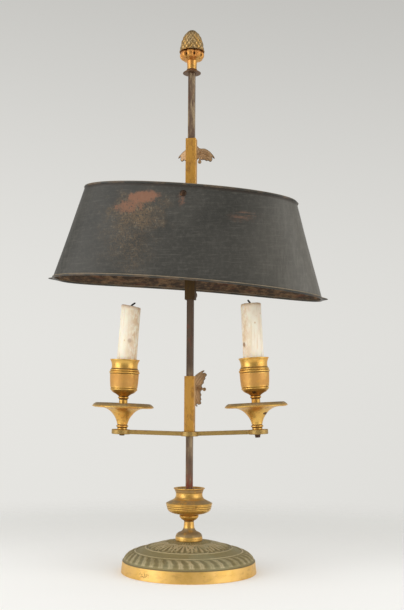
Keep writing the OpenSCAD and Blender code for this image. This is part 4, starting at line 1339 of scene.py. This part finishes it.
# Half outline of a butterfly's knob from its tip up its stem, as (radius, height) in millimetres
KNOB_OUTLINE = (
    (0.0, -13.4), (1.2, -13.0), (2.0, -11.9), (2.1, -10.9), (1.5, -9.7), (1.0, -8.9), (1.2, -7.4), (1.6, -5.0),
    (0.0, -4.4),
)
# Depths inside the rim at which a butterfly has a line of points, and the spacing of those on its face
RIM_LINES = (0.12 * MM, 0.35 * MM, 0.7 * MM)
FACE_GRID = np.arange(-21.5, 21.51, 0.55) * MM
SHANK_RADIUS, SHANK_POINTS, SHANK_STEP = 1.95 * MM, 40, 0.09 * MM
SHOULDER_RADIUS, SHOULDER_LENGTH = 4 * MM, 3 * MM
SET_HEAD_DEPTH = 4 * MM


def closed_curve(points, per_span):
    """A smooth closed curve through points, with per_span points from each one to the next."""
    t = np.arange(per_span)[:, None] / per_span
    made = []
    for k in range(len(points)):
        a, b, c, d = (points[(k + n) % len(points)] for n in (-1, 0, 1, 2))
        made.append(
            0.5 * (2 * b + (c - a) * t + (2 * a - 5 * b + 4 * c - d) * t**2 + (3 * b - a - 3 * c + d) * t**3)
        )
    return np.concatenate(made)


def distance_to(points, line):
    """Distance of each point from a closed line of points."""
    best = np.full(len(points), 1e9)
    for a, b in zip(line, np.roll(line, -1, 0)):
        run = b - a
        t = np.clip(((points - a) @ run) / (run @ run), 0, 1)[:, None]
        best = np.minimum(best, np.linalg.norm(points - a - t * run, axis=1))
    return best


def inside_of(points, line):
    """Whether each point lies inside a closed line of points."""
    x, y = points[:, 0], points[:, 1]
    within = np.zeros(len(points), bool)
    for a, b in zip(line, np.roll(line, -1, 0)):
        if a[1] != b[1]:
            crosses = (a[1] > y) != (b[1] > y)
            within ^= crosses & (x < (b[0] - a[0]) * (y - a[1]) / (b[1] - a[1]) + a[0])
    return within


def butterfly_face(shape):
    """A butterfly's flat face in the XZ plane: points, triangles and each point's distance from the rim."""
    half = np.array(WING_OUTLINE) * (shape.span / 2, MM)
    rim = closed_curve(np.concatenate([half, half[::-1] * (-1, 1)]), 5)
    inward = -outline_normals(rim, True)
    if not inside_of(rim[:1] + inward[:1] * 0.1 * MM, rim)[0]:
        inward = -inward
    spots = [rim]
    for depth in RIM_LINES:
        line = rim + inward * depth
        spots.append(line[inside_of(line, rim) & (distance_to(line, rim) > 0.85 * depth)])
    fill = np.stack(np.meshgrid(FACE_GRID, FACE_GRID + 0.2 * MM), -1).reshape(-1, 2)
    fill = fill[inside_of(fill, rim)]
    spots.append(fill[distance_to(fill, rim) > 1.0 * MM])
    count = len(rim)
    loop = [(k, (k + 1) % count) for k in range(count)]
    corners = [Vector(spot) for spot in np.concatenate(spots)]
    made = geometry.delaunay_2d_cdt(corners, loop, [list(range(count))], 1, 1e-8)
    flat = np.array([list(spot) for spot in made[0]])
    depth = distance_to(flat, rim)
    depth[depth < 0.001 * MM] = 0
    return flat, [list(face) for face in made[2]], depth


def vein_height(side, z):
    """Height, 0 to 1, of the veins of a wing, in millimetres from its middle."""
    height = np.zeros(len(side))
    for start, end in VEINS:
        a, run = np.array(start), np.array(end) - start
        t = np.clip(((side - a[0]) * run[0] + (z - a[1]) * run[1]) / (run @ run), 0, 1)
        off = np.hypot(side - a[0] - t * run[0], z - a[1] - t * run[1])
        height = np.maximum(height, np.exp(-((off / 0.42) ** 2)))
    return height


def butterfly_plate(shape):
    """A cast butterfly in the XZ plane: points, faces and nearness to the rim. -Y is its front."""
    flat, triangles, depth = butterfly_face(shape)
    round_off = np.sqrt(np.clip(1 - (1 - np.clip(depth / (0.75 * MM), 0, 1)) ** 2, 0, 1))
    side, z = abs(flat[:, 0] / MM), flat[:, 1] / MM
    swell = 0.35 * MM * smooth(depth, 0.4 * MM, 2.6 * MM)
    curl = shape.curl * smooth(side, 6, 20) ** 1.4
    thick = shape.plate * 0.5 * round_off
    front = curl - thick - swell * round_off + shape.vein * vein_height(side, z) * round_off
    back = curl + thick
    on_rim = depth == 0
    back[on_rim] = front[on_rim]
    points = np.concatenate([np.stack([flat[:, 0], y, flat[:, 1]], 1) for y in (front, back)])
    behind = [k if edge else len(flat) + k for k, edge in enumerate(on_rim.tolist())]
    faces = triangles + [[behind[k] for k in face[::-1]] for face in triangles]
    return points, faces, np.tile(1 - smooth(depth, 0, 1.1 * MM), 2)


def threaded_shank(length, shape):
    """A screw's shank along +Y from the origin: threads, then a flared shoulder at its far end."""
    rings = int(length / SHANK_STEP)
    angle = ring_angles(SHANK_POINTS)
    y = np.linspace(0, length, rings)
    phase = (y[:, None] / shape.pitch - angle[None, :] / TAU) % 1
    tooth = 1 - abs(2 * phase - 1)
    cut = shape.thread * (1 - smooth(y, length - 8 * MM, length - 6 * MM)) * smooth(y, 0, 1 * MM)
    flare = smooth(y, length - SHOULDER_LENGTH, length - 0.4 * MM) ** 1.3 * (SHOULDER_RADIUS - SHANK_RADIUS)
    r = SHANK_RADIUS - cut[:, None] * (1 - tooth) + flare[:, None]
    points = np.stack([r * np.cos(angle), np.repeat(y[:, None], SHANK_POINTS, 1), r * np.sin(angle)], -1)
    points = np.concatenate([[[0, 0, 0]], points.reshape(-1, 3), [[0, length, 0]]])
    counts = [1] + [SHANK_POINTS] * rings + [1]
    return points, [face[::-1] for face in ring_faces(counts, False)]


def butterfly_screw(node, turn, knob_shift, shape, finish):
    """One butterfly with its knob on a threaded shank, in place of a CAD screw."""
    low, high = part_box(node)
    reach = high.y - low.y - shape.plate / 2
    plate, plate_faces, plate_rim = butterfly_plate(shape)
    shank, shank_faces = threaded_shank(reach, shape)
    outline = fair_outline(np.array(KNOB_OUTLINE) * MM, False, 0.3 * MM)
    knob, knob_faces = spin(outline, False, SMALL_SEGMENTS)
    starts = 0, len(plate), len(plate) + len(shank)
    faces = [
        [start + k for k in face]
        for start, part in zip(starts, (plate_faces, shank_faces, knob_faces))
        for face in part
    ]
    points = np.concatenate([plate + (0, reach, 0), shank, knob + (knob_shift, reach, 0)])
    rim = np.concatenate([plate_rim, np.full(len(shank), 0.35), np.full(len(knob), 0.3)])
    joint = next(joint for joint in frame["joints"] if joint["child"] == node)
    place = Matrix.Translation((0, low.y, joint["pos_m"][2])) @ Matrix.Rotation(turn, 4, "Y")
    add_piece(node + "_cast", moved(points, place), faces, node, [finish], [node], {"rim": rim})


def build_set_screw(shape):
    """The round set screw with its knurled head, in the bridge's iron."""
    node = "shade_set_screw"
    low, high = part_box(node)
    head = (high.x - low.x) / 2
    wide, tall = head / MM, (high.y - low.y) / MM
    under = (high.y - low.y - SET_HEAD_DEPTH) / MM
    half = np.array([
        [0, 0], [1.7, 0], [1.7, under], [wide - 0.8, under], [wide, under + 0.6], [wide, tall - 0.8],
        [wide - 0.8, tall], [1.4, tall], [0, tall - 0.5],
    ]) * MM
    outline = fair_outline(half, False, 0.3 * MM, fillet=0.2 * MM)

    def knurl(angle, k):
        on_side = outline[k, 0] > head - 0.25 * MM
        return -0.35 * MM * (0.5 - 0.5 * np.cos(angle * shape.knurls)) if on_side else 0

    points, faces = spin(outline, False, 8 * shape.knurls, knurl)
    place = Matrix.Translation((0, low.y, (low.z + high.z) / 2)) @ Matrix.Rotation(-math.pi / 2, 4, "X")
    iron = bpy.data.materials["bridge_iron"]
    add_piece("set_screw_knurled", moved(points, place), faces, node, [iron], [node])


def build_screws(scene):
    """Two butterfly screws and the knurled set screw."""
    colours, shape = scene.lamp_colours, scene.lamp_screws
    brown = brown_brass(colours, "brown_brass", colours.brown, 0.8)
    butterfly_screw("shade_wing_screw", shape.upper_turn, shape.knob_shift, shape, brown)
    butterfly_screw("arm_wing_screw", -shape.lower_turn, 0, shape, brown)
    build_set_screw(shape)


class LAMP_OT_screws(bpy.types.Operator):
    """Make the two butterfly screws and the knurled set screw"""

    bl_idname = "lamp.screws"
    bl_label = "Screws"

    def execute(self, context):
        build_screws(context.scene)
        return {"FINISHED"}


# ---------- shade ----------

SHEET_AROUND, SHEET_ROWS = 400, 44
BEAD_AROUND, BEAD_SIDES = 640, 16
SHEET_CREASE = math.radians(50)


def edge_ring(shape, word, angle, inset, lift=0.0):
    """Points of the top or bottom edge: bent between an ellipse and a rectangle, arched and sloping."""
    size = {key: getattr(shape, f"{word}_{key}") for key in ("x", "y", "z", "squareness", "arch", "slope", "shift")}
    half_x, half_y, power = size["x"] - inset, size["y"] - inset, 2 / size["squareness"]
    c, s = np.cos(angle), np.sin(angle)
    x = half_x * np.sign(c) * abs(c) ** power
    y = half_y * np.sign(s) * abs(s) ** power
    z = size["z"] + lift + size["arch"] * (1 - (x / half_x) ** 2) - x * math.tan(size["slope"])
    return np.stack([x + size["shift"], y, z], -1)


def even_angles(shape, word, count):
    """Angles that space an edge's points evenly."""
    fine = np.linspace(0, TAU, 20001)
    travelled = walked(edge_ring(shape, word, fine, 0))
    return np.interp(np.linspace(0, travelled[-1], count + 1)[:-1], travelled, fine)


def sheet_noise(points, size, seed):
    """Noise at points, with features of about size metres."""
    return np.array([noise.noise(Vector(p) / size + Vector(seed)) for p in points])


def dented(points, shape):
    """Depth of dents and ripple at points of the sheet, none at the rivets."""
    calm = smooth(abs(points[:, 0]), 12 * MM, 45 * MM)
    slow = sheet_noise(points, 55 * MM, (3, 1, 7))
    quick = sheet_noise(points, 14 * MM, (9, 4, 2))
    return calm * slow * shape.dent + (0.3 + 0.7 * calm) * quick * shape.ripple


def wire_mesh(ring, radius, ear):
    """A round wire along a closed ring of points. ear is how far its outer side is pulled out at each point."""
    run = unit(along_loop(ring))
    out = unit(np.cross(run, (0.0, 0.0, 1.0)))
    lift = np.cross(out, run)
    angle = ring_angles(BEAD_SIDES)
    outward = radius * np.cos(angle)[None] + ear[:, None] * np.clip(np.cos(angle), 0, None)[None]
    upward = radius * np.sin(angle)
    points = ring[:, None] + out[:, None] * outward[..., None] + lift[:, None] * upward[None, :, None]
    faces = [face[::-1] for face in ring_faces([BEAD_SIDES] * len(ring), True)]
    return points.reshape(-1, 3), faces, np.tile(np.sin(angle), len(ring))


def ear_lengths(shape, angle, left, right):
    """How far an edge is pulled out at each angle: an ear at each end."""
    away = np.minimum(angle % math.pi, math.pi - angle % math.pi)
    share = np.clip(1 - away / shape.ear_spread, 0, 1) ** 2
    return share * np.where(np.cos(angle) < 0, left, right)


def build_shade(scene):
    """The painted sheet with its lining, and the two wired edges. The rivets lie on the Y axis of its frame."""
    colours, shape = scene.lamp_colours, scene.lamp_shade
    place = Matrix.Translation(Vector(JOINTS["shade_tilt"]["pos_m"])) @ Matrix.Rotation(shape.lean, 4, "Y")
    angle = even_angles(shape, "bottom", SHEET_AROUND)
    low = edge_ring(shape, "bottom", angle, 0, shape.wire)
    top = edge_ring(shape, "top", angle, 0, -shape.wire)
    rise = np.linspace(0, 1, SHEET_ROWS)
    share = rise[:, None, None]
    outer = low[None] * (1 - share) + top[None] * share
    along = along_loop(outer, 1)
    out = unit(np.cross(along, np.broadcast_to(top - low, along.shape)))
    dents = dented(outer.reshape(-1, 3), shape).reshape(SHEET_ROWS, SHEET_AROUND, 1)
    outer = outer - out * abs(dents * np.sin(math.pi * share) ** 0.7)
    rings = np.concatenate([outer, (outer - out * shape.sheet)[::-1]])
    faces = ring_faces([SHEET_AROUND] * len(rings), True)
    climb = np.repeat(np.concatenate([rise, np.zeros(SHEET_ROWS)]), SHEET_AROUND)
    lined = (np.arange(len(faces)) // SHEET_AROUND >= SHEET_ROWS - 1).astype(np.int32)
    add_piece(
        "shade_sheet", moved(rings.reshape(-1, 3), place), faces, "shade",
        [japanned_sheet(colours), shade_lining(colours)], ["shade_shell"], {"climb": climb}, lined, SHEET_CREASE,
    )
    # The last number is how pale the wire's upper side is: rubbed paint and a painted highlight
    for word, lift, ears, bare in (
        ("top", -shape.wire, (shape.top_ear, shape.top_ear), 0.35),
        ("bottom", shape.wire, (shape.left_ear, shape.right_ear), 0.8),
    ):
        angle = even_angles(shape, word, BEAD_AROUND)
        ring = edge_ring(shape, word, angle, shape.sheet / 2, lift)
        points, faces, upper = wire_mesh(ring, shape.wire, ear_lengths(shape, angle, *ears))
        add_piece(
            f"shade_{word}_bead", moved(points, place), faces, "shade",
            [wired_edge(colours, f"{word}_edge", bare)], [f"shade_{word}_wire"], {"upper": upper},
        )


class LAMP_OT_shade(bpy.types.Operator):
    """Make the painted sheet and its wired edges"""

    bl_idname = "lamp.shade"
    bl_label = "Shade"

    def execute(self, context):
        build_shade(context.scene)
        return {"FINISHED"}


# ---------- arms ----------

# How far each holder leans towards +X
HOLDER_LEAN = {"left": math.radians(2.1), "right": math.radians(-3.4)}
# X and Z of a dark stain on the right pan and on the right cup, in millimetres
PAN_STAIN, CUP_STAIN = (85, 176), (73, 199)
# The cups' grainy barrels, below their rims
BARREL_FROM, BARREL_TO = 31 * MM, 17 * MM
PAN_SEGMENTS, CUP_STEP = 144, 0.6 * MM


def barrel_film(outline):
    """Marks a cup's grainy barrel."""
    top = outline[:, 1].max()
    return film_between(outline, (top - BARREL_FROM, top - BARREL_TO, 1.0))


def build_arms(scene):
    """Drip pans and cups on both sides, and the finish of the bar and the nuts."""
    colours = scene.lamp_colours
    gilt = gilt_brass(colours, "pan_gilt", colours.gilt, colours.cup, 0.3, spot=PAN_STAIN)
    matte = gilt_brass(colours, "cup_gilt", colours.gilt, colours.cup, 0.3, colours.cup_matte, CUP_STAIN)
    paint_node("arm_bar", brown_brass(colours, "arm_brass", colours.bar, 0.0))
    nut = brown_brass(colours, "nut_brown", colours.rivet, 0.0)
    for word, lean in HOLDER_LEAN.items():
        axis = (math.sin(lean), 0, math.cos(lean))
        pan, cup = f"{word}_pan", f"{word}_cup"
        turned_piece(pan, f"{word}_drip_pan", "arms", gilt, axis, PAN_SEGMENTS, film=film_on_top)
        turned_piece(cup, f"{word}_candle_cup", "arms", matte, axis, step=CUP_STEP, film=barrel_film)
        paint_node(f"{word}_stud_nut", nut)


class LAMP_OT_arms(bpy.types.Operator):
    """Make the drip pans and cups, and finish the bar and its nuts"""

    bl_idname = "lamp.arms"
    bl_label = "Arms"

    def execute(self, context):
        build_arms(context.scene)
        return {"FINISHED"}


# ---------- candles ----------

CANDLE_ROWS, CANDLE_SEGMENTS = 150, 144
RIM_ROUNDING = 0.9 * MM
# Shares of the rim's radius at which the melted hollow has a ring
DISH_RINGS = (0.93, 0.85, 0.72, 0.55, 0.38, 0.2)
WICK_ROWS, WICK_SEGMENTS = 26, 20
WICK_THICKER = 1.4


def candle_surface(radius, taper, tall, shape, seed, tip):
    """Points, faces and burnt marks of one stub, standing on the origin along Z. tip leans its rim."""
    angle = ring_angles(CANDLE_SEGMENTS)
    cos, sin = np.cos(angle), np.sin(angle)
    wave = np.array([noise.noise(Vector((3 * c, 3 * s, seed))) for c, s in zip(cos, sin)])
    rim_height = tall - shape.wave * (0.3 + 0.3 * wave) - tip * (1 + cos) / 2
    points, burnt = [[[0, 0, 0]]], [[0]]
    for t in np.linspace(0, 1, CANDLE_ROWS):
        swell = np.array([noise.noise(Vector((2.2 * c, 2.2 * s, seed + 9 * t))) for c, s in zip(cos, sin)])
        round_over = RIM_ROUNDING * (1 - math.sqrt(max(0, 1 - max(0, (t - 0.988) / 0.012) ** 2)))
        wide = radius - taper * t + swell * shape.swell - shape.swell - round_over
        points.append(np.stack([cos * wide, sin * wide, rim_height * t], 1))
        burnt.append(np.full(CANDLE_SEGMENTS, smooth(t, 0.9, 1.0) * 0.6))
    edge = points[-1]
    middle = edge[:, 2].mean()
    for share in DISH_RINGS:
        dish = shape.dish * (1 - ((share - 0.1) / 0.9) ** 2)
        level = edge[:, 2] * share + middle * (1 - share)
        points.append(np.stack([edge[:, 0] * share, edge[:, 1] * share, level - dish], 1))
        burnt.append(np.full(CANDLE_SEGMENTS, 0.5 + 0.4 * (1 - share)))
    points.append([[0, 0, middle - shape.dish]])
    burnt.append([1])
    counts = [len(ring) for ring in points]
    return np.concatenate(points), ring_faces(counts, False), np.concatenate(burnt)


def wick_surface(length, radius, bend, start):
    """A thin burnt wick that rises from start and bends over."""
    angle = ring_angles(WICK_SEGMENTS)
    cos, sin = np.cos(angle)[:, None], np.sin(angle)[:, None]
    step = length / WICK_ROWS
    spot = np.array([0.0, 0.0, start])
    points = [spot[None]]
    for k in range(WICK_ROWS + 1):
        t = k / WICK_ROWS
        heading = bend * smooth(t, 0.1, 0.7)
        forward = np.array([math.sin(heading), 0, math.cos(heading)])
        aside = np.array([math.cos(heading), 0, -math.sin(heading)])
        thick = radius * (1 - 0.25 * t) * (1 + 0.16 * np.cos(3 * angle + 9 * t))
        if k == WICK_ROWS:
            thick = thick * 0.5
        points.append(spot + thick[:, None] * (cos * aside + sin * (0, 1, 0)))
        spot = spot + forward * step
    points.append(spot[None] - forward[None] * step * 0.6)
    counts = [len(ring) for ring in points]
    return np.concatenate(points), ring_faces(counts, False)


def build_candle(word, wax, char, shape, seed, tip, bend, extra):
    """One stub, extra taller than its CAD node, with its wick."""
    node, wick = f"{word}_candle", f"{word}_wick"
    place = standing_on(node, JOINTS[f"{word}_candle_lift"]["axis"])
    body, wick_body = node_points(node, place), node_points(wick, place)
    tall = body[:, 2].max()
    low_r = abs(body[body[:, 2] < 0.5 * tall][:, 0]).max()
    high_r = abs(body[body[:, 2] > 0.9 * tall][:, 0]).max()
    points, faces, burnt = candle_surface(low_r, low_r - high_r, tall + extra, shape, seed, tip)
    marks = {"burnt": burnt, "side": points[:, 0] / low_r}
    add_piece(node + "_stub", moved(points, place), faces, node, [wax], [node], marks)
    radius = abs(wick_body[wick_body[:, 2] < tall - 2 * MM][:, 1]).max()
    start = tall + extra - shape.dish - 2 * MM
    length = wick_body[:, 2].max() - tall + shape.dish + 3.2 * MM
    points, faces = wick_surface(length, WICK_THICKER * radius, bend, start)
    add_piece(wick + "_burnt", moved(points, place), faces, node, [char], [wick])


def build_candles(scene):
    """The two stubs with their wicks."""
    colours, shape = scene.lamp_colours, scene.lamp_candles
    char = charred_wick(colours)
    for word, tan_side, pit, *form in (
        ("left", 1, (0.35, 256, 0.4), 2.0, 2.4 * MM, math.radians(58), 2.2 * MM),
        ("right", -1, (-0.75, 251, 0.9), 11.0, -0.4 * MM, math.radians(-32), 0.6 * MM),
    ):
        build_candle(word, candle_wax(colours, f"{word}_wax", tan_side, pit), char, shape, *form)


class LAMP_OT_candles(bpy.types.Operator):
    """Make the two candle stubs and their wicks"""

    bl_idname = "lamp.candles"
    bl_label = "Candles"

    def execute(self, context):
        build_candles(context.scene)
        return {"FINISHED"}


# ---------- stage ----------

# The stage's places and sizes are in metres
AIM = (0, 0, 0.28)
SIDE_LIGHTS = {"key": math.radians(-62), "fill": math.radians(62)}
SIDE_DISTANCE, SIDE_HEIGHT, SIDE_SIZE = 1.25, 0.5, (1.0, 1.5)
OVERHEAD_PLACE, OVERHEAD_SIZE = (0.0, -0.3, 1.7), (1.4, 1.2)
FLAG_DISTANCE, FLAG_HEIGHT, FLAG_HALF_SIZE = 1.35, 0.45, (0.95, 0.7)
FLOOR_RADIUS = 2.4


def round_rod(angle, distance, height):
    """A place at a distance from the rod. Angle 0 is in front of it, and the angle grows towards +X."""
    return distance * math.sin(angle), -distance * math.cos(angle), height


def facing(direction):
    """The turn of a light or camera that looks in a direction."""
    return Vector(direction).to_track_quat("-Z", "Y")


def add_softbox(name, place, size, power):
    """An area light aimed at the lamp."""
    light = bpy.data.lights.new(name, "AREA")
    light.shape = "RECTANGLE"
    light.size, light.size_y = size
    light.energy = power
    softbox = show(name, light)
    softbox.location = place
    softbox.visible_camera = False
    softbox.rotation_mode = "QUATERNION"
    softbox.rotation_quaternion = facing(Vector(AIM) - Vector(place))


def set_world(look):
    """A pale backdrop, darker high up, for what the camera and the metal see, and a plain light for the rest."""
    world = bpy.data.worlds.new("studio")
    bpy.context.scene.world = world
    world.use_nodes = True
    n = Nodes(world.node_tree)
    up, across = n.along("Z", "Generated"), n.along("X", "Generated")
    fall = up.between(0.03, 0.85) + across.between(-0.5, 0.3) * 0.12
    backdrop = n.blend(look.wall_low, look.wall_high, fall)
    rays = n.node("ShaderNodeLightPath").outputs
    camera, glossy, passing = (Value(n, rays[f"Is {ray} Ray"]) for ray in ("Camera", "Glossy", "Transmission"))
    shown = n.value("ShaderNodeBackground", None, {"Color": backdrop, "Strength": 1.0})
    plain = n.value("ShaderNodeBackground", None, {"Color": (1.0, 1.0, 1.0), "Strength": look.world})
    both = n.value("ShaderNodeMixShader", None, {0: camera.most(glossy).most(passing), 1: plain, 2: shown})
    n.node("ShaderNodeOutputWorld", None, {"Surface": both})


def stage_sheet(name, make, material, **form):
    """A flat object of the stage. make is the bmesh operator that makes it, and form its options."""
    bm = bmesh.new()
    make(bm, **form)
    mesh = bpy.data.meshes.new(name)
    bm.to_mesh(mesh)
    bm.free()
    mesh.materials.append(material)
    return show(name, mesh)


def add_floor(look):
    """A pale floor, with painted shade behind the lamp, that fades into the backdrop."""
    f = Finish("floor")
    across, along = f.along("X"), f.along("Y")
    fade = ((across * across + along * along) ** 0.5).between(0.25, 0.8)
    # Painted shade on the floor, darker behind the lamp
    colour = f.blend(look.floor, look.floor_far, along.between(-0.1, 0.5))
    plain = f.value("ShaderNodeBsdfDiffuse", None, {"Color": colour, "Roughness": 0.0})
    clear = f.value("ShaderNodeBsdfTransparent")
    material = f.output(f.value("ShaderNodeMixShader", None, {0: fade, 1: plain, 2: clear}))
    floor = stage_sheet(
        "floor", bmesh.ops.create_circle, material, cap_ends=True, segments=96, radius=FLOOR_RADIUS
    )


def add_flag(look):
    """A grey card behind the camera. Only reflections show it, so polished rounds get a darker middle."""
    f = Finish("flag")
    material = f.output(f.value("ShaderNodeEmission", None, {"Color": look.flag, "Strength": 1.0}))
    flag = stage_sheet("flag", bmesh.ops.create_grid, material, x_segments=1, y_segments=1, size=1)
    flag.location = round_rod(look.azimuth, FLAG_DISTANCE, FLAG_HEIGHT)
    flag.rotation_euler = (math.pi / 2, 0, look.azimuth)
    flag.scale = (*FLAG_HALF_SIZE, 1)
    flag.visible_camera = flag.visible_diffuse = flag.visible_shadow = False


def add_camera(look):
    """A level camera with a shifted lens."""
    data = bpy.data.cameras.new("camera")
    data.lens = look.lens
    data.shift_x, data.shift_y = look.shift_x, look.shift_y
    camera = show("camera", data)
    camera.location = round_rod(look.azimuth, look.distance, look.height)
    camera.rotation_mode = "QUATERNION"
    level = facing(-Vector(round_rod(look.azimuth, 1, 0)))
    camera.rotation_quaternion = level @ Matrix.Rotation(look.roll, 4, "Z").to_quaternion()
    bpy.context.scene.camera = camera


def build_stage(scene):
    """Backdrop, floor, lights and camera."""
    look = scene.lamp_stage
    set_world(look)
    add_floor(look)
    for name, side in SIDE_LIGHTS.items():
        place = round_rod(look.azimuth + side, SIDE_DISTANCE, SIDE_HEIGHT)
        add_softbox(name, place, SIDE_SIZE, getattr(look, name))
    add_softbox("overhead", OVERHEAD_PLACE, OVERHEAD_SIZE, look.top)
    add_flag(look)
    add_camera(look)
    scene.view_settings.view_transform = "Standard"


class LAMP_OT_stage(bpy.types.Operator):
    """Make the backdrop, floor, lights and camera"""

    bl_idname = "lamp.stage"
    bl_label = "Stage"

    def execute(self, context):
        build_stage(context.scene)
        return {"FINISHED"}


# ---------- add-on ----------

STEPS = ("stage", "base", "stem", "finial", "sleeves", "screws", "shade", "arms", "candles")


class LAMP_PT_panel(bpy.types.Panel):
    """Buttons that build the lamp, in order"""

    bl_label = "Bouillotte Lamp"
    bl_idname = "LAMP_PT_panel"
    bl_space_type = "VIEW_3D"
    bl_region_type = "UI"
    bl_category = "Lamp"

    def draw(self, context):
        for step in STEPS:
            self.layout.operator(f"lamp.{step}")


SETTINGS = {
    "lamp_colours": LampColours,
    "lamp_base": BaseOrnament,
    "lamp_finial": FinialShape,
    "lamp_shade": ShadeShape,
    "lamp_screws": ScrewShape,
    "lamp_candles": CandleShape,
    "lamp_stage": StageLook,
}
CLASSES = (
    *SETTINGS.values(), LAMP_OT_stage, LAMP_OT_base, LAMP_OT_stem, LAMP_OT_finial, LAMP_OT_sleeves,
    LAMP_OT_screws, LAMP_OT_shade, LAMP_OT_arms, LAMP_OT_candles, LAMP_PT_panel,
)


def register():
    """Registers the settings, operators and panel."""
    for cls in CLASSES:
        bpy.utils.register_class(cls)
    for name, group in SETTINGS.items():
        setattr(bpy.types.Scene, name, PointerProperty(type=group))


def unregister():
    """Takes back what register did."""
    for name in SETTINGS:
        delattr(bpy.types.Scene, name)
    for cls in reversed(CLASSES):
        bpy.utils.unregister_class(cls)


def main():
    """Builds the whole lamp."""
    register()
    for step in STEPS:
        getattr(bpy.ops.lamp, step)()
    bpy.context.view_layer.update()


if __name__ == "__main__":
    main()
